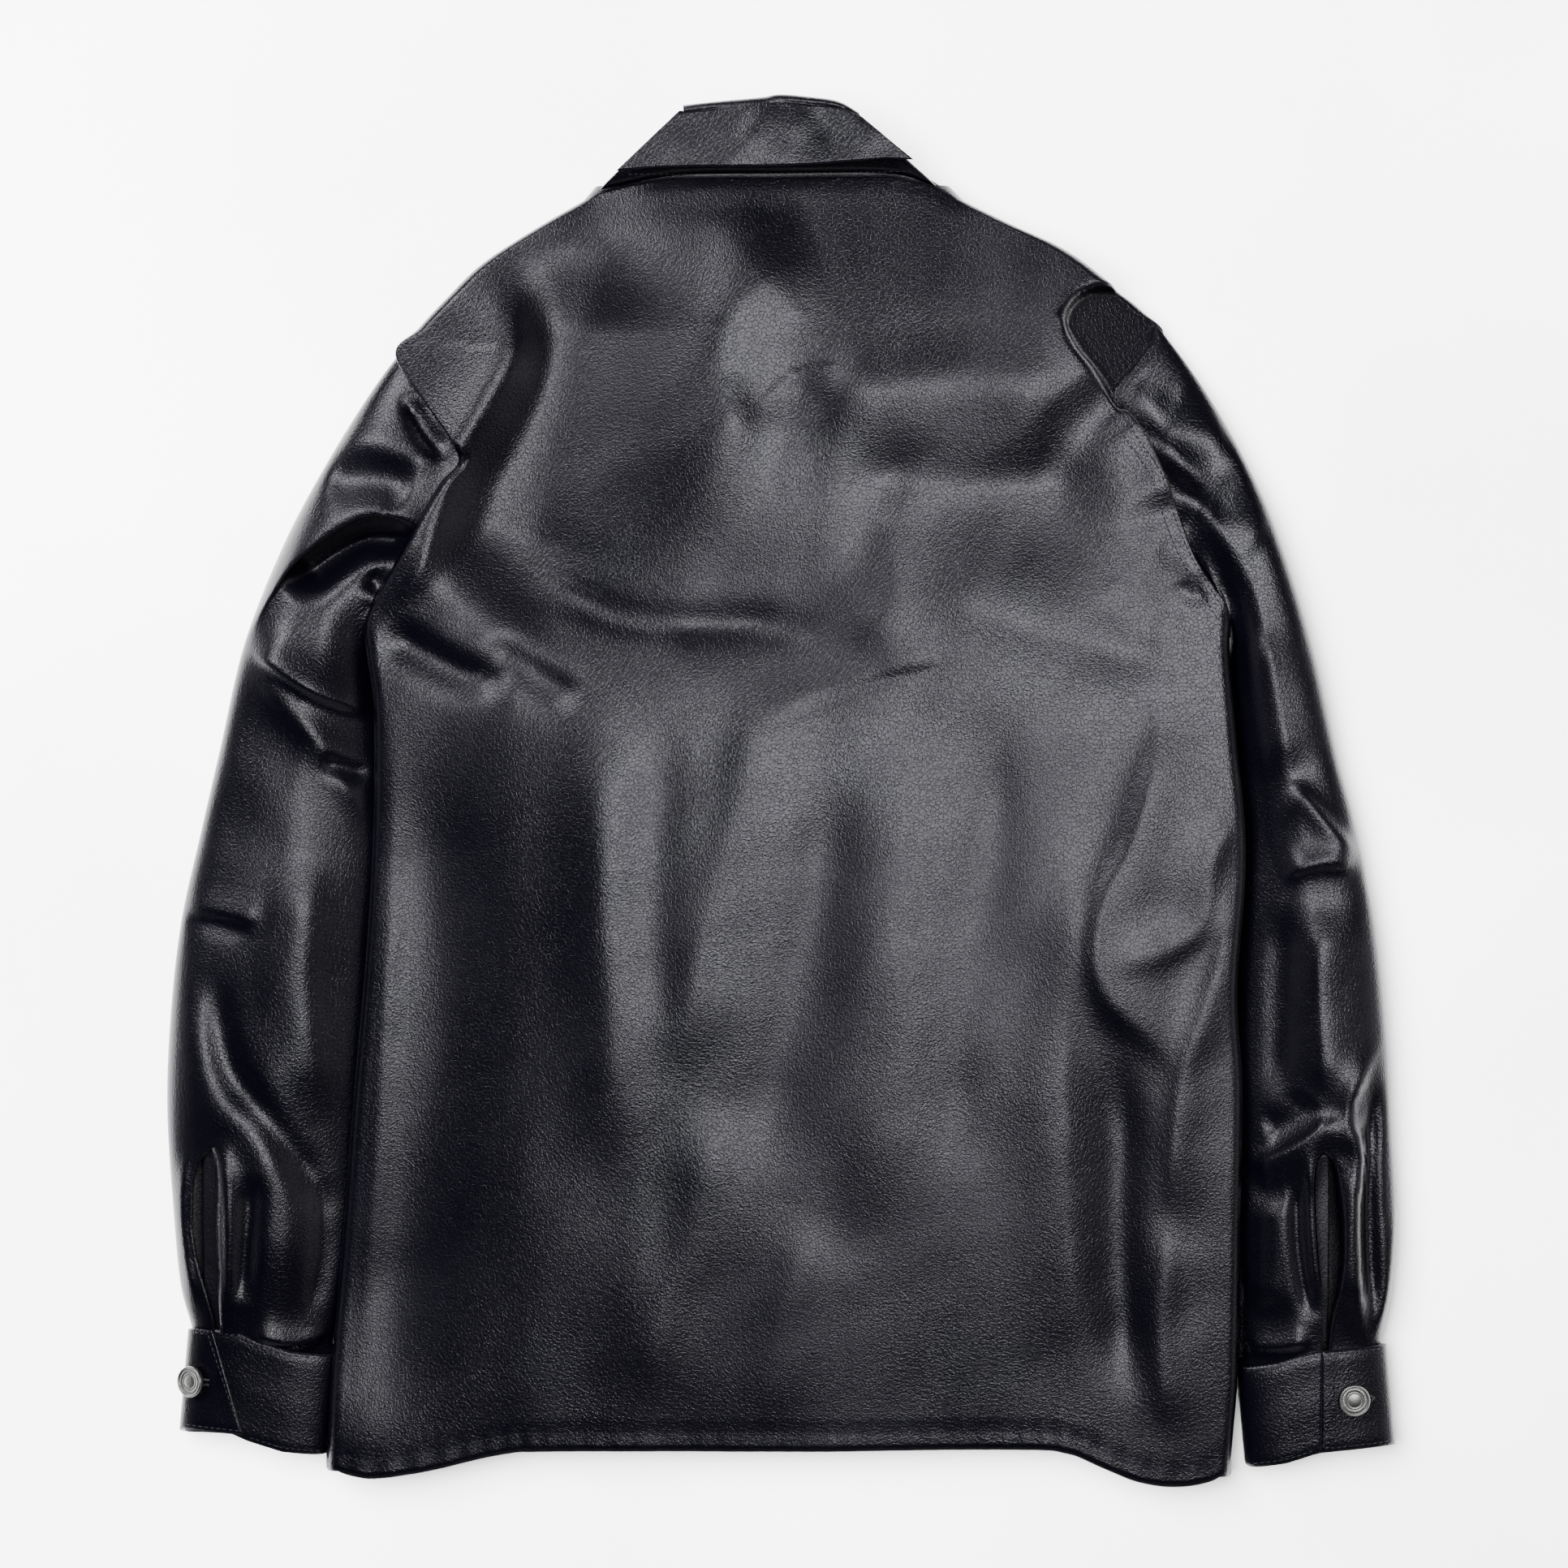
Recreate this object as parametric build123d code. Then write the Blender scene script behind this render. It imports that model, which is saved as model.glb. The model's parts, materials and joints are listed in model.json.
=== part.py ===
from build123d import *
from math import cos, hypot, radians, sin
import os

# A leather shirt jacket that lies on its front, back upwards and sleeves down.
# Millimetres. +Z is up from the surface it lies on, +Y runs from hem to collar,
# and +X runs to the wearer's right.

os.makedirs("parts", exist_ok=True)

# ---------------------------------------------------------------- driving sizes
LEATHER = 1.5                  # one thickness of the body leather
FACING = 1.2                   # one thickness of the facing and collar leather
BACK_TOP = 29.5                # upper face of the back
SIDE_FOLD = 14.0               # outer radius of the fold along each side
SHOULDER_FOLD = 12.7           # outer radius of the fold along each shoulder
HEM_TURN = 10.0                # depth of the turned-up hem
REACH = 500.0                  # longer than the jacket in any direction

FOLD_LINE_X = 106.0            # the fronts fold back along x = -106 and x = 106
FOLD_GAP = 0.3                 # half of the gap between the two sides of a fold line
NECK_LIFT = 2.6                # the fronts rise by this much over the collar ends
LIFT_START = 230.0
LIFT_END = 250.0
OVERLAP = 17.0                 # each front reaches this far past the centre
BAND = 42.0                    # width of each front's facing
FRONT_RISE = 8.4               # height of the right front over the left one
RISE_FOOT = 84.0               # the right front starts to rise here
RISE_TOP = 25.0                # and lies level from here

CAP_R = 8.75                   # buttons
CAP_HEIGHT = 3.2
CAP_RIM = 1.3
CAP_SUNK = 0.5
NECK_R = 3.4
POST_R = 2.2
RUNNING = 0.05                 # radial play of a cap on its post
TACK_R = 4.5
TACK_THICK = 1.0
BUTTON_COUNT = 6
BUTTON_TOP_Y = 215.0
BUTTON_PITCH = 95.0
HOLE_LENGTH = 20.0
HOLE_WIDTH = 2.4

CUFF_DEPTH = 57.0
CUFF_HEIGHT = 26.0
SLEEVE_LAP = 8.0               # the sleeve runs this far into the cuff
TAB_HOLE = (21.0, 7.6)

HEAD_BOTTOM = 6.2              # the sleeve heads lie between the back and the fronts
HEAD_TOP = 26.5

# ---------------------------------------------------------------- outlines
# Plan outlines, as (x, y). Sides and shoulders run outwards from the hem or the neck.
LEFT_SIDE = [(-257, -376), (-253, -320), (-246, -240), (-242, -170),
             (-237, -90), (-232, -20), (-233, 55), (-236, 96)]
RIGHT_SIDE = [(252, -379), (253, -320), (257, -240), (260, -165),
              (257, -110), (262, -35), (255, 45), (253, 98)]
LEFT_SHOULDER = [(-107, 341), (-140, 321), (-170, 301), (-188, 283), (-197, 274)]
RIGHT_SHOULDER = [(89, 345), (120, 328), (158, 310), (180, 294), (194, 284)]
LEFT_ARMHOLE = [(-208, 262), (-220, 249), (-201, 220), (-181, 193), (-192, 170), (-214, 136)]
RIGHT_ARMHOLE = [(210, 270), (218, 262), (204, 247), (186, 228), (199, 206), (214, 184),
                 (221, 163), (232, 135)]
HEM = [(-228, -386), (-200, -382), (-160, -373), (-135, -371), (135, -370),
       (160, -372), (180, -380), (200, -388), (220, -391.5), (238, -389)]
NECK = [(-94, 348), (-60, 350), (0, 350), (60, 352)]
LEFT_HEM_END = (-245, -384)
RIGHT_HEM_END = (241, -387)

LEFT_NECKLINE = [(-FOLD_LINE_X + FOLD_GAP, 341), (-88, 322), (-60, 292), (-20, 268), (OVERLAP, 262)]
RIGHT_NECKLINE = [(89, 345), (78, 322), (56, 292), (20, 268), (-OVERLAP, 262)]

LEFT_PIVOT = (-206, 247)       # the sleeves swing about the shoulder points
RIGHT_PIVOT = (204, 260)


def polar(centre, radius, degrees):
    """Plan point at a distance and direction from a centre."""
    angle = radians(degrees)
    return (centre[0] + radius * cos(angle), centre[1] + radius * sin(angle))


def prism(outline, bottom, top):
    """Solid with a plan outline between two heights."""
    face = make_face(Polyline(*outline, close=True))
    return Pos(0, 0, bottom) * extrude(face, top - bottom, dir=(0, 0, 1))


def upright_plane(start, end, height):
    """Vertical plane centred between two plan points: x runs along them, y runs up."""
    along = Vector(end[0] - start[0], end[1] - start[1], 0).normalized()
    middle = ((start[0] + end[0]) / 2, (start[1] + end[1]) / 2, height)
    return Plane(origin=middle, x_dir=along, z_dir=along.cross(Vector(0, 0, 1)))


def inward_directions(points, interior):
    """Unit normals of a polyline at its points, turned towards an interior point."""
    directions = []
    for i, point in enumerate(points):
        before = points[max(i - 1, 0)]
        after = points[min(i + 1, len(points) - 1)]
        normal = Vector(before[1] - after[1], after[0] - before[0], 0).normalized()
        to_inside = Vector(interior[0] - point[0], interior[1] - point[1], 0)
        if normal.dot(to_inside) < 0:
            normal = normal * -1
        directions.append(normal)
    return directions


def fold_edge(points, directions, radius):
    """Plan points where a fold's round turns into the flat sheet."""
    return [(p[0] + radius * d.X, p[1] + radius * d.Y) for p, d in zip(points, directions)]


def rolled_fold(points, directions, radius):
    """Leather that turns round an edge in a half circle under the back."""
    half = Circle(radius) - Circle(radius - LEATHER) - Pos(radius, 0) * Rectangle(2 * radius, 3 * radius)
    sections = []
    for point, inner in zip(points, fold_edge(points, directions, radius)):
        plane = upright_plane(point, inner, BACK_TOP - radius)
        sections.append((plane * Pos(radius / 2, 0) * half).face())
    return loft(sections, ruled=True)


# ---------------------------------------------------------------- back
INTERIOR = (0, 0)
side_in_left = inward_directions(LEFT_SIDE, INTERIOR)
side_in_right = inward_directions(RIGHT_SIDE, INTERIOR)
side_in_left[0] = Vector(LEFT_HEM_END[0] + 257, LEFT_HEM_END[1] + 376, 0).normalized()
side_in_right[0] = Vector(RIGHT_HEM_END[0] - 252, RIGHT_HEM_END[1] + 379, 0).normalized()
shoulder_in_left = inward_directions(LEFT_SHOULDER, INTERIOR)
shoulder_in_right = inward_directions(RIGHT_SHOULDER, INTERIOR)


def make_back_panel():
    """The one-piece back, folded round at its sides and shoulders, with its hem turned up."""
    left_side = fold_edge(LEFT_SIDE, side_in_left, SIDE_FOLD)
    right_side = fold_edge(RIGHT_SIDE, side_in_right, SIDE_FOLD)
    left_shoulder = fold_edge(LEFT_SHOULDER, shoulder_in_left, SHOULDER_FOLD)
    right_shoulder = fold_edge(RIGHT_SHOULDER, shoulder_in_right, SHOULDER_FOLD)
    outline = left_side + LEFT_ARMHOLE[::-1] + [LEFT_SHOULDER[-1]] + left_shoulder[::-1]
    outline += NECK + right_shoulder + [RIGHT_SHOULDER[-1]] + RIGHT_ARMHOLE
    outline += right_side[::-1] + HEM[::-1]
    sheet = prism(outline, BACK_TOP - LEATHER, BACK_TOP)
    turned = HEM + [(x, y + HEM_TURN) for x, y in HEM[::-1]]
    hem = prism(turned, BACK_TOP - 2 * LEATHER, BACK_TOP - LEATHER)
    panel = sheet + hem
    panel += rolled_fold(LEFT_SIDE, side_in_left, SIDE_FOLD)
    panel += rolled_fold(RIGHT_SIDE, side_in_right, SIDE_FOLD)
    panel += rolled_fold(LEFT_SHOULDER, shoulder_in_left, SHOULDER_FOLD)
    panel += rolled_fold(RIGHT_SHOULDER, shoulder_in_right, SHOULDER_FOLD)
    return panel


def make_neck_facing():
    """Crescent of leather inside the back of the neck."""
    outline = [(-91, 346), (-60, 349), (0, 349.5), (60, 351), (76, 346), (66, 326), (0, 304), (-80, 324)]
    return prism(outline, BACK_TOP - 2 * LEATHER, BACK_TOP - LEATHER)


# ---------------------------------------------------------------- fronts
def lifted_sheet(bottom, thickness):
    """Level sheet that steps up over the collar ends."""
    line = [(-REACH, bottom), (LIFT_START, bottom), (LIFT_END, bottom + NECK_LIFT), (REACH, bottom + NECK_LIFT)]
    profile = line + [(y, z + thickness) for y, z in line[::-1]]
    face = make_face(Plane.YZ * Polyline(*profile, close=True))
    return extrude(face, REACH, both=True)


def right_edge_section(y, lift):
    """Section of the right front's edge: it climbs on to the left front."""
    line = [(FOLD_LINE_X - FOLD_GAP, lift), (RISE_FOOT, lift), (RISE_TOP, FRONT_RISE), (-OVERLAP, FRONT_RISE)]
    profile = line + [(x, z + LEATHER) for x, z in line[::-1]]
    plane = Plane(origin=(0, y, 0), x_dir=(1, 0, 0), z_dir=(0, -1, 0))
    return make_face(plane * Polyline(*profile, close=True))


def make_left_front_panel():
    """The part of the left front outside its fold line."""
    x = -FOLD_LINE_X - FOLD_GAP
    outline = [(x, -371)] + [HEM[2], HEM[1], HEM[0], LEFT_HEM_END] + LEFT_SIDE
    outline += LEFT_ARMHOLE[::-1] + LEFT_SHOULDER[::-1][:-1] + [(x, 341)]
    return lifted_sheet(0, LEATHER) & prism(outline, -1, BACK_TOP)


def make_right_front_panel():
    """The part of the right front outside its fold line."""
    x = FOLD_LINE_X + FOLD_GAP
    outline = [(x, -370)] + HEM[4:] + [RIGHT_HEM_END] + RIGHT_SIDE
    outline += RIGHT_ARMHOLE[::-1] + RIGHT_SHOULDER[::-1][:-1] + [(x, 335.5)]
    return lifted_sheet(0, LEATHER) & prism(outline, -1, BACK_TOP)


def make_left_front_edge():
    """The part of the left front that folds back, with its buttonholes."""
    outline = [(-FOLD_LINE_X + FOLD_GAP, -371), (OVERLAP, -370.5)] + LEFT_NECKLINE[::-1]
    edge = lifted_sheet(0, LEATHER) & prism(outline, -1, BACK_TOP)
    return edge - buttonholes()


def make_left_front_facing():
    """Second ply behind the buttonholes."""
    outline = [(OVERLAP - BAND, -370.5), (OVERLAP, -370.5), (OVERLAP, 262), (-20, 268), (OVERLAP - BAND, 271)]
    facing = lifted_sheet(LEATHER, LEATHER) & prism(outline, -1, BACK_TOP)
    return facing - buttonholes()


def make_right_front_edge():
    """The part of the right front that folds back, with the holes of its tacks."""
    low = right_edge_section(-REACH, 0)
    start = right_edge_section(LIFT_START, 0)
    end = right_edge_section(LIFT_END, NECK_LIFT)
    sheet = extrude(low, LIFT_START + REACH, dir=(0, 1, 0)) + loft([start, end], ruled=True)
    sheet += extrude(end, REACH - LIFT_END, dir=(0, 1, 0))
    outline = [(FOLD_LINE_X - FOLD_GAP, -370), (-OVERLAP, -370.5)] + RIGHT_NECKLINE[::-1]
    outline += [(FOLD_LINE_X - FOLD_GAP, 336)]
    return (sheet & prism(outline, -1, BACK_TOP)) - front_posts()


def make_right_front_facing():
    """Second ply behind the buttons."""
    outline = [(-OVERLAP, -370.5), (BAND - OVERLAP, -370.5), (BAND - OVERLAP, 271), (20, 268), (-OVERLAP, 262)]
    bottom = FRONT_RISE + LEATHER
    return prism(outline, bottom, bottom + LEATHER) - front_posts()


# ---------------------------------------------------------------- front buttons
def button_rows():
    """Heights of the front buttons along the opening."""
    return [BUTTON_TOP_Y - BUTTON_PITCH * i for i in range(BUTTON_COUNT)]


def buttonholes():
    """Upright slots in the left front."""
    slot = extrude(SlotOverall(HOLE_LENGTH, HOLE_WIDTH, rotation=90), BACK_TOP)
    return [Pos(0, y, -1) * slot for y in button_rows()]


def front_posts():
    """Posts of the front buttons, which the leather of the right front grips."""
    top = FRONT_RISE + 2 * LEATHER
    bottom = FRONT_RISE - 3.5
    post = Pos(0, 0, bottom) * extrude(Circle(POST_R), top - bottom)
    return [Pos(0, y, 0) * post for y in button_rows()]


def make_front_tacks():
    """Tacks behind the right front: a flat back and the post through the leather."""
    back = Pos(0, 0, FRONT_RISE + 2 * LEATHER) * extrude(Circle(TACK_R), TACK_THICK)
    tacks = [post + Pos(0, y, 0) * back for post, y in zip(front_posts(), button_rows())]
    return Compound(children=[tack.solid() for tack in tacks])


def make_cap():
    """Button cap, face up: rimmed disc on a short neck with a blind bore from below."""
    neck_height = 1.8
    disc = Pos(0, 0, neck_height) * extrude(Circle(CAP_R), CAP_HEIGHT)
    disc = fillet(disc.edges().filter_by(GeomType.CIRCLE), 0.5)
    disc -= Pos(0, 0, neck_height + CAP_HEIGHT - CAP_SUNK) * extrude(Circle(CAP_R - CAP_RIM), CAP_SUNK)
    cap = disc + extrude(Circle(NECK_R), neck_height)
    return cap - extrude(Circle(POST_R + RUNNING), neck_height + 2.0)


def make_front_cap(y):
    """Cap of one front button. Its face looks down, to the outside of the jacket."""
    return Pos(0, y, FRONT_RISE - 0.1) * Rot(180, 0, 0) * make_cap()


# ---------------------------------------------------------------- collar
ROLL_Y = 389.1                 # the collar rolls over along y = 389.1 at z = 38
ROLL_Z = 38.0
STAND_FOOT_Y = 343.0
STAND_TOP_Y = 386.0


def make_collar_stand():
    """Stand: sewn on to the neck edge and rising to the roll."""
    line = [(STAND_FOOT_Y, BACK_TOP), (351, BACK_TOP), (STAND_TOP_Y, ROLL_Z - 0.3 - LEATHER)]
    profile = line + [(y, z + LEATHER) for y, z in line[::-1]]
    face = make_face(Plane.YZ * Polyline(*profile, close=True))
    outline = [(-95, STAND_FOOT_Y), (-94, 351), (-56, STAND_TOP_Y), (40, STAND_TOP_Y), (78, 352), (80, STAND_FOOT_Y)]
    return extrude(face, REACH, both=True) & prism(outline, BACK_TOP - 5, ROLL_Z)


def make_fall(inner, outer):
    """One ply of the fall: flat over the stand, and round the roll."""
    free_edge = [(-97, 352), (-60, 355), (0, 356), (40, 359), (70, 360)]
    outline = [(-56, ROLL_Y)] + free_edge + [(40, ROLL_Y)]
    ply = prism(outline, ROLL_Z + inner, ROLL_Z + outer)
    turn = Circle(outer) - Circle(inner) if inner > 0 else Circle(outer)
    quarter = turn & Pos(outer / 2, outer / 2) * Rectangle(outer, outer)
    plane = Plane(origin=(-56, ROLL_Y, ROLL_Z), x_dir=(0, 1, 0), z_dir=(1, 0, 0))
    return ply + extrude(plane * quarter, 96)


def make_collar_end(outline):
    """Front end of the collar, two plies thick, under the front's neckline."""
    return prism(outline, NECK_LIFT - 2 * FACING, NECK_LIFT)


LEFT_COLLAR_END = [(-56, 386), (-94, 352), (-105.4, 341), (-80, 256), (-6, 296), (-45, 340)]
RIGHT_COLLAR_END = [(40, 386), (76, 356), (88.5, 345), (80, 256), (6, 296), (42, 340)]

# ---------------------------------------------------------------- cuffs
LEFT_CUFF = {"place": Pos(-297.2, -310, 0) * Rot(0, 0, -5), "mirrored": False, "width": 79.7,
             "tab_top": -26.0, "tab_bottom": -3.0, "button": (-26.85, -25.0), "tilt": 32.0}
RIGHT_CUFF = {"place": Pos(299.3, -317, 0) * Rot(0, 0, 5), "mirrored": True, "width": 84.8,
              "tab_top": -5.0, "tab_bottom": 1.0, "button": (-20.8, -27.0), "tilt": 0.0}
MID = CUFF_HEIGHT / 2          # the cuff's middle height
STITCHED = 6.0                 # the tab is stitched to the band over this height


def placed(cuff, shape):
    """Cuff pieces are drawn for the left wrist, with the outer side at -x."""
    if cuff["mirrored"]:
        shape = mirror(shape, about=Plane.YZ)
    return cuff["place"] * shape


def band_ring(width, height, thickness, start, length):
    """Flattened ring round the wrist, from start to start + length down the cuff."""
    ring = SlotOverall(width, height) - SlotOverall(width - 2 * thickness, height - 2 * thickness)
    return extrude(Plane.XZ.offset(start) * Pos(0, MID) * ring, length)


def button_axis(cuff):
    """Location at the cuff's middle height, with +z out through the button."""
    x, y = cuff["button"]
    return Pos(x, y, MID) * Rot(0, -cuff["tilt"], 0)


def cuff_post(cuff):
    """Post of the cuff button, from behind the band to inside the cap."""
    return button_axis(cuff) * Pos(0, 0, 7.4) * extrude(Circle(POST_R), 9.0)


def underlap_gap(cuff):
    """Where the band ends under the tab."""
    return Pos(-cuff["width"] / 2, -CUFF_DEPTH / 2, MID + 2.5) * Box(16, CUFF_DEPTH + 2, 5)


def make_cuff(cuff):
    """Outer ply of the cuff, with the lapping tab and its buttonhole."""
    width = cuff["width"]
    band = band_ring(width, CUFF_HEIGHT, LEATHER, 0, CUFF_DEPTH) - underlap_gap(cuff) - cuff_post(cuff)
    lap = band_ring(width + 2 * LEATHER, CUFF_HEIGHT + 2 * LEATHER, LEATHER, 0, CUFF_DEPTH)
    outline = [(-width, 1), (cuff["tab_top"], 1), (cuff["tab_bottom"], -CUFF_DEPTH - 1), (-width, -CUFF_DEPTH - 1)]
    tab = lap & prism(outline, MID - STITCHED, CUFF_HEIGHT + 5)
    tab -= button_axis(cuff) * Pos(0, 0, 12) * Box(TAB_HOLE[0], TAB_HOLE[1], 14)
    return placed(cuff, band + tab)


def make_cuff_facing(cuff):
    """Inner ply of the cuff."""
    inset = 4 * LEATHER
    facing = band_ring(cuff["width"] - inset, CUFF_HEIGHT - inset, FACING, 1, CUFF_DEPTH - 1)
    return placed(cuff, facing - underlap_gap(cuff) - cuff_post(cuff))


def make_cuff_tack(cuff):
    """Tack of the cuff button."""
    back = button_axis(cuff) * Pos(0, 0, 6.4) * extrude(Circle(TACK_R), TACK_THICK)
    return placed(cuff, back + cuff_post(cuff))


def make_cuff_cap(cuff):
    """Cap of the cuff button, on the outside of the tab."""
    return placed(cuff, button_axis(cuff) * Pos(0, 0, MID + 0.1) * make_cap())


# ---------------------------------------------------------------- sleeves
# Stations down each sleeve: outer plan point, inner plan point, bottom and top height.
LEFT_STATIONS = [((-219.5, 248), (-236.5, 104), HEAD_BOTTOM, HEAD_TOP),
                 ((-264, 188), (-240, 86), 3, 28),
                 ((-306, 83), (-235.5, 44), 0, 30),
                 ((-323, 13), (-234.5, -10), 0, 30),
                 ((-341.5, -72), (-238.8, -83), 0, 32),
                 ((-349, -165), (-244.2, -165), 0, 32),
                 ((-346.5, -238), (-249, -238), 0, 30)]
RIGHT_STATIONS = [((217.5, 261), (251.6, 106.2), HEAD_BOTTOM, HEAD_TOP),
                  ((262, 193), (256.5, 92), 3, 28),
                  ((300, 87), (259, 45), 0, 30),
                  ((319, 9), (264.5, -10), 0, 30),
                  ((336, -70), (265, -78), 0, 32),
                  ((344, -160), (263.5, -160), 0, 32),
                  ((349, -245), (260, -245), 0, 30)]
LEFT_HEAD = {"pivot": LEFT_PIVOT, "radius": 146, "start": 258, "end": 297, "tip": (12.5, 61),
             "cover": [(111, 303), (80, 318), (60, 331), (24, 335)], "seam": [(-219, 247), (-238.5, 104)]}
RIGHT_HEAD = {"pivot": RIGHT_PIVOT, "radius": 161, "start": 287.2, "end": 252, "tip": (12.5, 119),
              "cover": [(128, 247.5), (98, 244.5), (77, 241), (54, 229), (37, 205), (20, 200)],
              "seam": [(217, 260), (254, 107)]}
LEFT_SLIT = [(-321, -200), (-330, -207), (-334, -230), (-333, -258), (-327, -282), (-323, -330),
             (-317, -330), (-320, -290), (-320, -205)]
RIGHT_SLIT = [(303, -202), (310, -208), (315, -240), (313, -275), (309, -300), (308, -330),
              (302, -330), (306, -300), (302, -265), (300, -215)]
LEFT_PLACKET = [(-328, -203), (-306, -203), (-306, -300), (-325, -300)]
RIGHT_PLACKET = [(288, -203), (307, -203), (309, -300), (291, -305)]


def wrist_station(cuff):
    """Outer and inner plan points of the cuff's upper edge, inside its outer ply."""
    outwards = 1 if cuff["mirrored"] else -1
    reach = cuff["width"] / 2 - LEATHER
    ends = [(cuff["place"] * Pos(side * reach, 0, 0)).position for side in (outwards, -outwards)]
    return (ends[0].X, ends[0].Y), (ends[1].X, ends[1].Y), LEATHER, CUFF_HEIGHT - LEATHER


def sleeve_section(station, inset):
    """Upright section of a sleeve, pulled in by inset all round."""
    outer, inner, bottom, top = station
    width = hypot(inner[0] - outer[0], inner[1] - outer[1])
    slot = SlotOverall(width - 2 * inset, top - bottom - 2 * inset)
    return (upright_plane(outer, inner, (bottom + top) / 2) * slot).face()


def sleeve_tube(stations, cuff, inset):
    """Solid tube from the armhole to SLEEVE_LAP inside the cuff."""
    sections = [sleeve_section(station, inset) for station in stations + [wrist_station(cuff)]]
    down = (cuff["place"] * Pos(0, -1, 0)).position - cuff["place"].position
    return loft(sections, ruled=True) + extrude(sections[-1], SLEEVE_LAP, dir=down)


def head_plate(head, bottom):
    """Level plate of the sleeve head: a sector about the pivot that stays under the back."""
    centre = head["pivot"]
    sweep = head["end"] - head["start"]
    arc = CenterArc(centre, head["radius"], head["start"], sweep)
    points = [polar(centre, *point) for point in head["cover"]] + [polar(centre, *head["tip"])]
    border = Polyline(arc @ 1, *points, *head["seam"], arc @ 0)
    return Pos(0, 0, bottom) * extrude(make_face(arc.edges() + border.edges()), LEATHER, dir=(0, 0, 1))


def head_wall(head):
    """Underarm wall between the two plates."""
    centre = head["pivot"]
    sweep = head["end"] - head["start"]
    outer = CenterArc(centre, head["radius"], head["start"], sweep)
    inner = CenterArc(centre, head["radius"] - LEATHER, head["start"], sweep)
    ends = Line(outer @ 0, inner @ 0).edges() + Line(outer @ 1, inner @ 1).edges()
    face = make_face(outer.edges() + inner.edges() + ends)
    return Pos(0, 0, HEAD_BOTTOM) * extrude(face, HEAD_TOP - HEAD_BOTTOM, dir=(0, 0, 1))


def make_sleeve(stations, cuff, head, slit):
    """Sleeve: a hollow tube, its head under the back, and the slit at the wrist."""
    sleeve = sleeve_tube(stations, cuff, 0) - sleeve_tube(stations, cuff, LEATHER)
    sleeve += head_plate(head, HEAD_TOP - LEATHER)
    sleeve += head_plate(head, HEAD_BOTTOM)
    sleeve += head_wall(head)
    return sleeve - prism(slit, MID + 3, BACK_TOP + 10)


def make_sleeve_placket(stations, cuff, outline):
    """Strip of leather inside the slit."""
    skin = sleeve_tube(stations, cuff, LEATHER) - sleeve_tube(stations, cuff, LEATHER + FACING)
    return skin & prism(outline, MID + 3, BACK_TOP + 10)


# ---------------------------------------------------------------- all sub-parts
def make_all():
    """Every sub-part, by node name."""
    nodes = {
        "back_panel": make_back_panel(),
        "back_neck_facing": make_neck_facing(),
        "collar_stand": make_collar_stand(),
        "under_collar": make_fall(0, FACING),
        "upper_collar": make_fall(FACING, 2 * FACING),
        "left_collar_end": make_collar_end(LEFT_COLLAR_END),
        "right_collar_end": make_collar_end(RIGHT_COLLAR_END),
        "left_front_panel": make_left_front_panel(),
        "right_front_panel": make_right_front_panel(),
        "left_front_edge": make_left_front_edge(),
        "right_front_edge": make_right_front_edge(),
        "left_front_facing": make_left_front_facing(),
        "right_front_facing": make_right_front_facing(),
        "front_button_tacks": make_front_tacks(),
        "left_sleeve": make_sleeve(LEFT_STATIONS, LEFT_CUFF, LEFT_HEAD, LEFT_SLIT),
        "right_sleeve": make_sleeve(RIGHT_STATIONS, RIGHT_CUFF, RIGHT_HEAD, RIGHT_SLIT),
        "left_sleeve_placket": make_sleeve_placket(LEFT_STATIONS, LEFT_CUFF, LEFT_PLACKET),
        "right_sleeve_placket": make_sleeve_placket(RIGHT_STATIONS, RIGHT_CUFF, RIGHT_PLACKET),
    }
    for number, y in enumerate(button_rows(), start=1):
        nodes[f"front_button_cap_{number}"] = make_front_cap(y)
    for side, cuff in (("left", LEFT_CUFF), ("right", RIGHT_CUFF)):
        nodes[f"{side}_cuff"] = make_cuff(cuff)
        nodes[f"{side}_cuff_facing"] = make_cuff_facing(cuff)
        nodes[f"{side}_cuff_tack"] = make_cuff_tack(cuff)
        nodes[f"{side}_cuff_button_cap"] = make_cuff_cap(cuff)
    return nodes


for name, shape in make_all().items():
    export_step(shape, f"parts/{name}.step")
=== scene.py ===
import json
from math import cos, pi, radians, sin

import bmesh
import bpy
import numpy as np
from mathutils import Matrix, Vector
from mathutils.bvhtree import BVHTree


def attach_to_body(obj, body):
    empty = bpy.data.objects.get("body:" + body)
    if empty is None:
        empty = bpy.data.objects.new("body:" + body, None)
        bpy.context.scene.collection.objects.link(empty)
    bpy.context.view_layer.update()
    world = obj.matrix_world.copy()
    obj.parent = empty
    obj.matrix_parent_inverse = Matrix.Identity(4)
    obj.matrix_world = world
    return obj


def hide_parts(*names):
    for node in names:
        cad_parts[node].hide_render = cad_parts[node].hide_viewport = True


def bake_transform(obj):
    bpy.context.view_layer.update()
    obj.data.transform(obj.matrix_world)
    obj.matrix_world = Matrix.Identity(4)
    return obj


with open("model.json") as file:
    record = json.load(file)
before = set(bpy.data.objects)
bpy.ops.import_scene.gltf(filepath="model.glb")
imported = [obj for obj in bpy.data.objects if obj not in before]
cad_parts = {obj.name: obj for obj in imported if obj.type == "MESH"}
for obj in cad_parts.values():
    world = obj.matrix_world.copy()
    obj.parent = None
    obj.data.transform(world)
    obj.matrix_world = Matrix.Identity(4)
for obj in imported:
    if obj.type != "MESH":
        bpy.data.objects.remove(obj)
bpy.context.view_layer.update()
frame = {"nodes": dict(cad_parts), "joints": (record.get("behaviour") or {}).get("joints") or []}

# A leather shirt jacket that lies on its front. Plan points and sizes are in
# millimetres in the frame of the CAD model, and become metres when a mesh is made.
MM = 0.001


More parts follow.
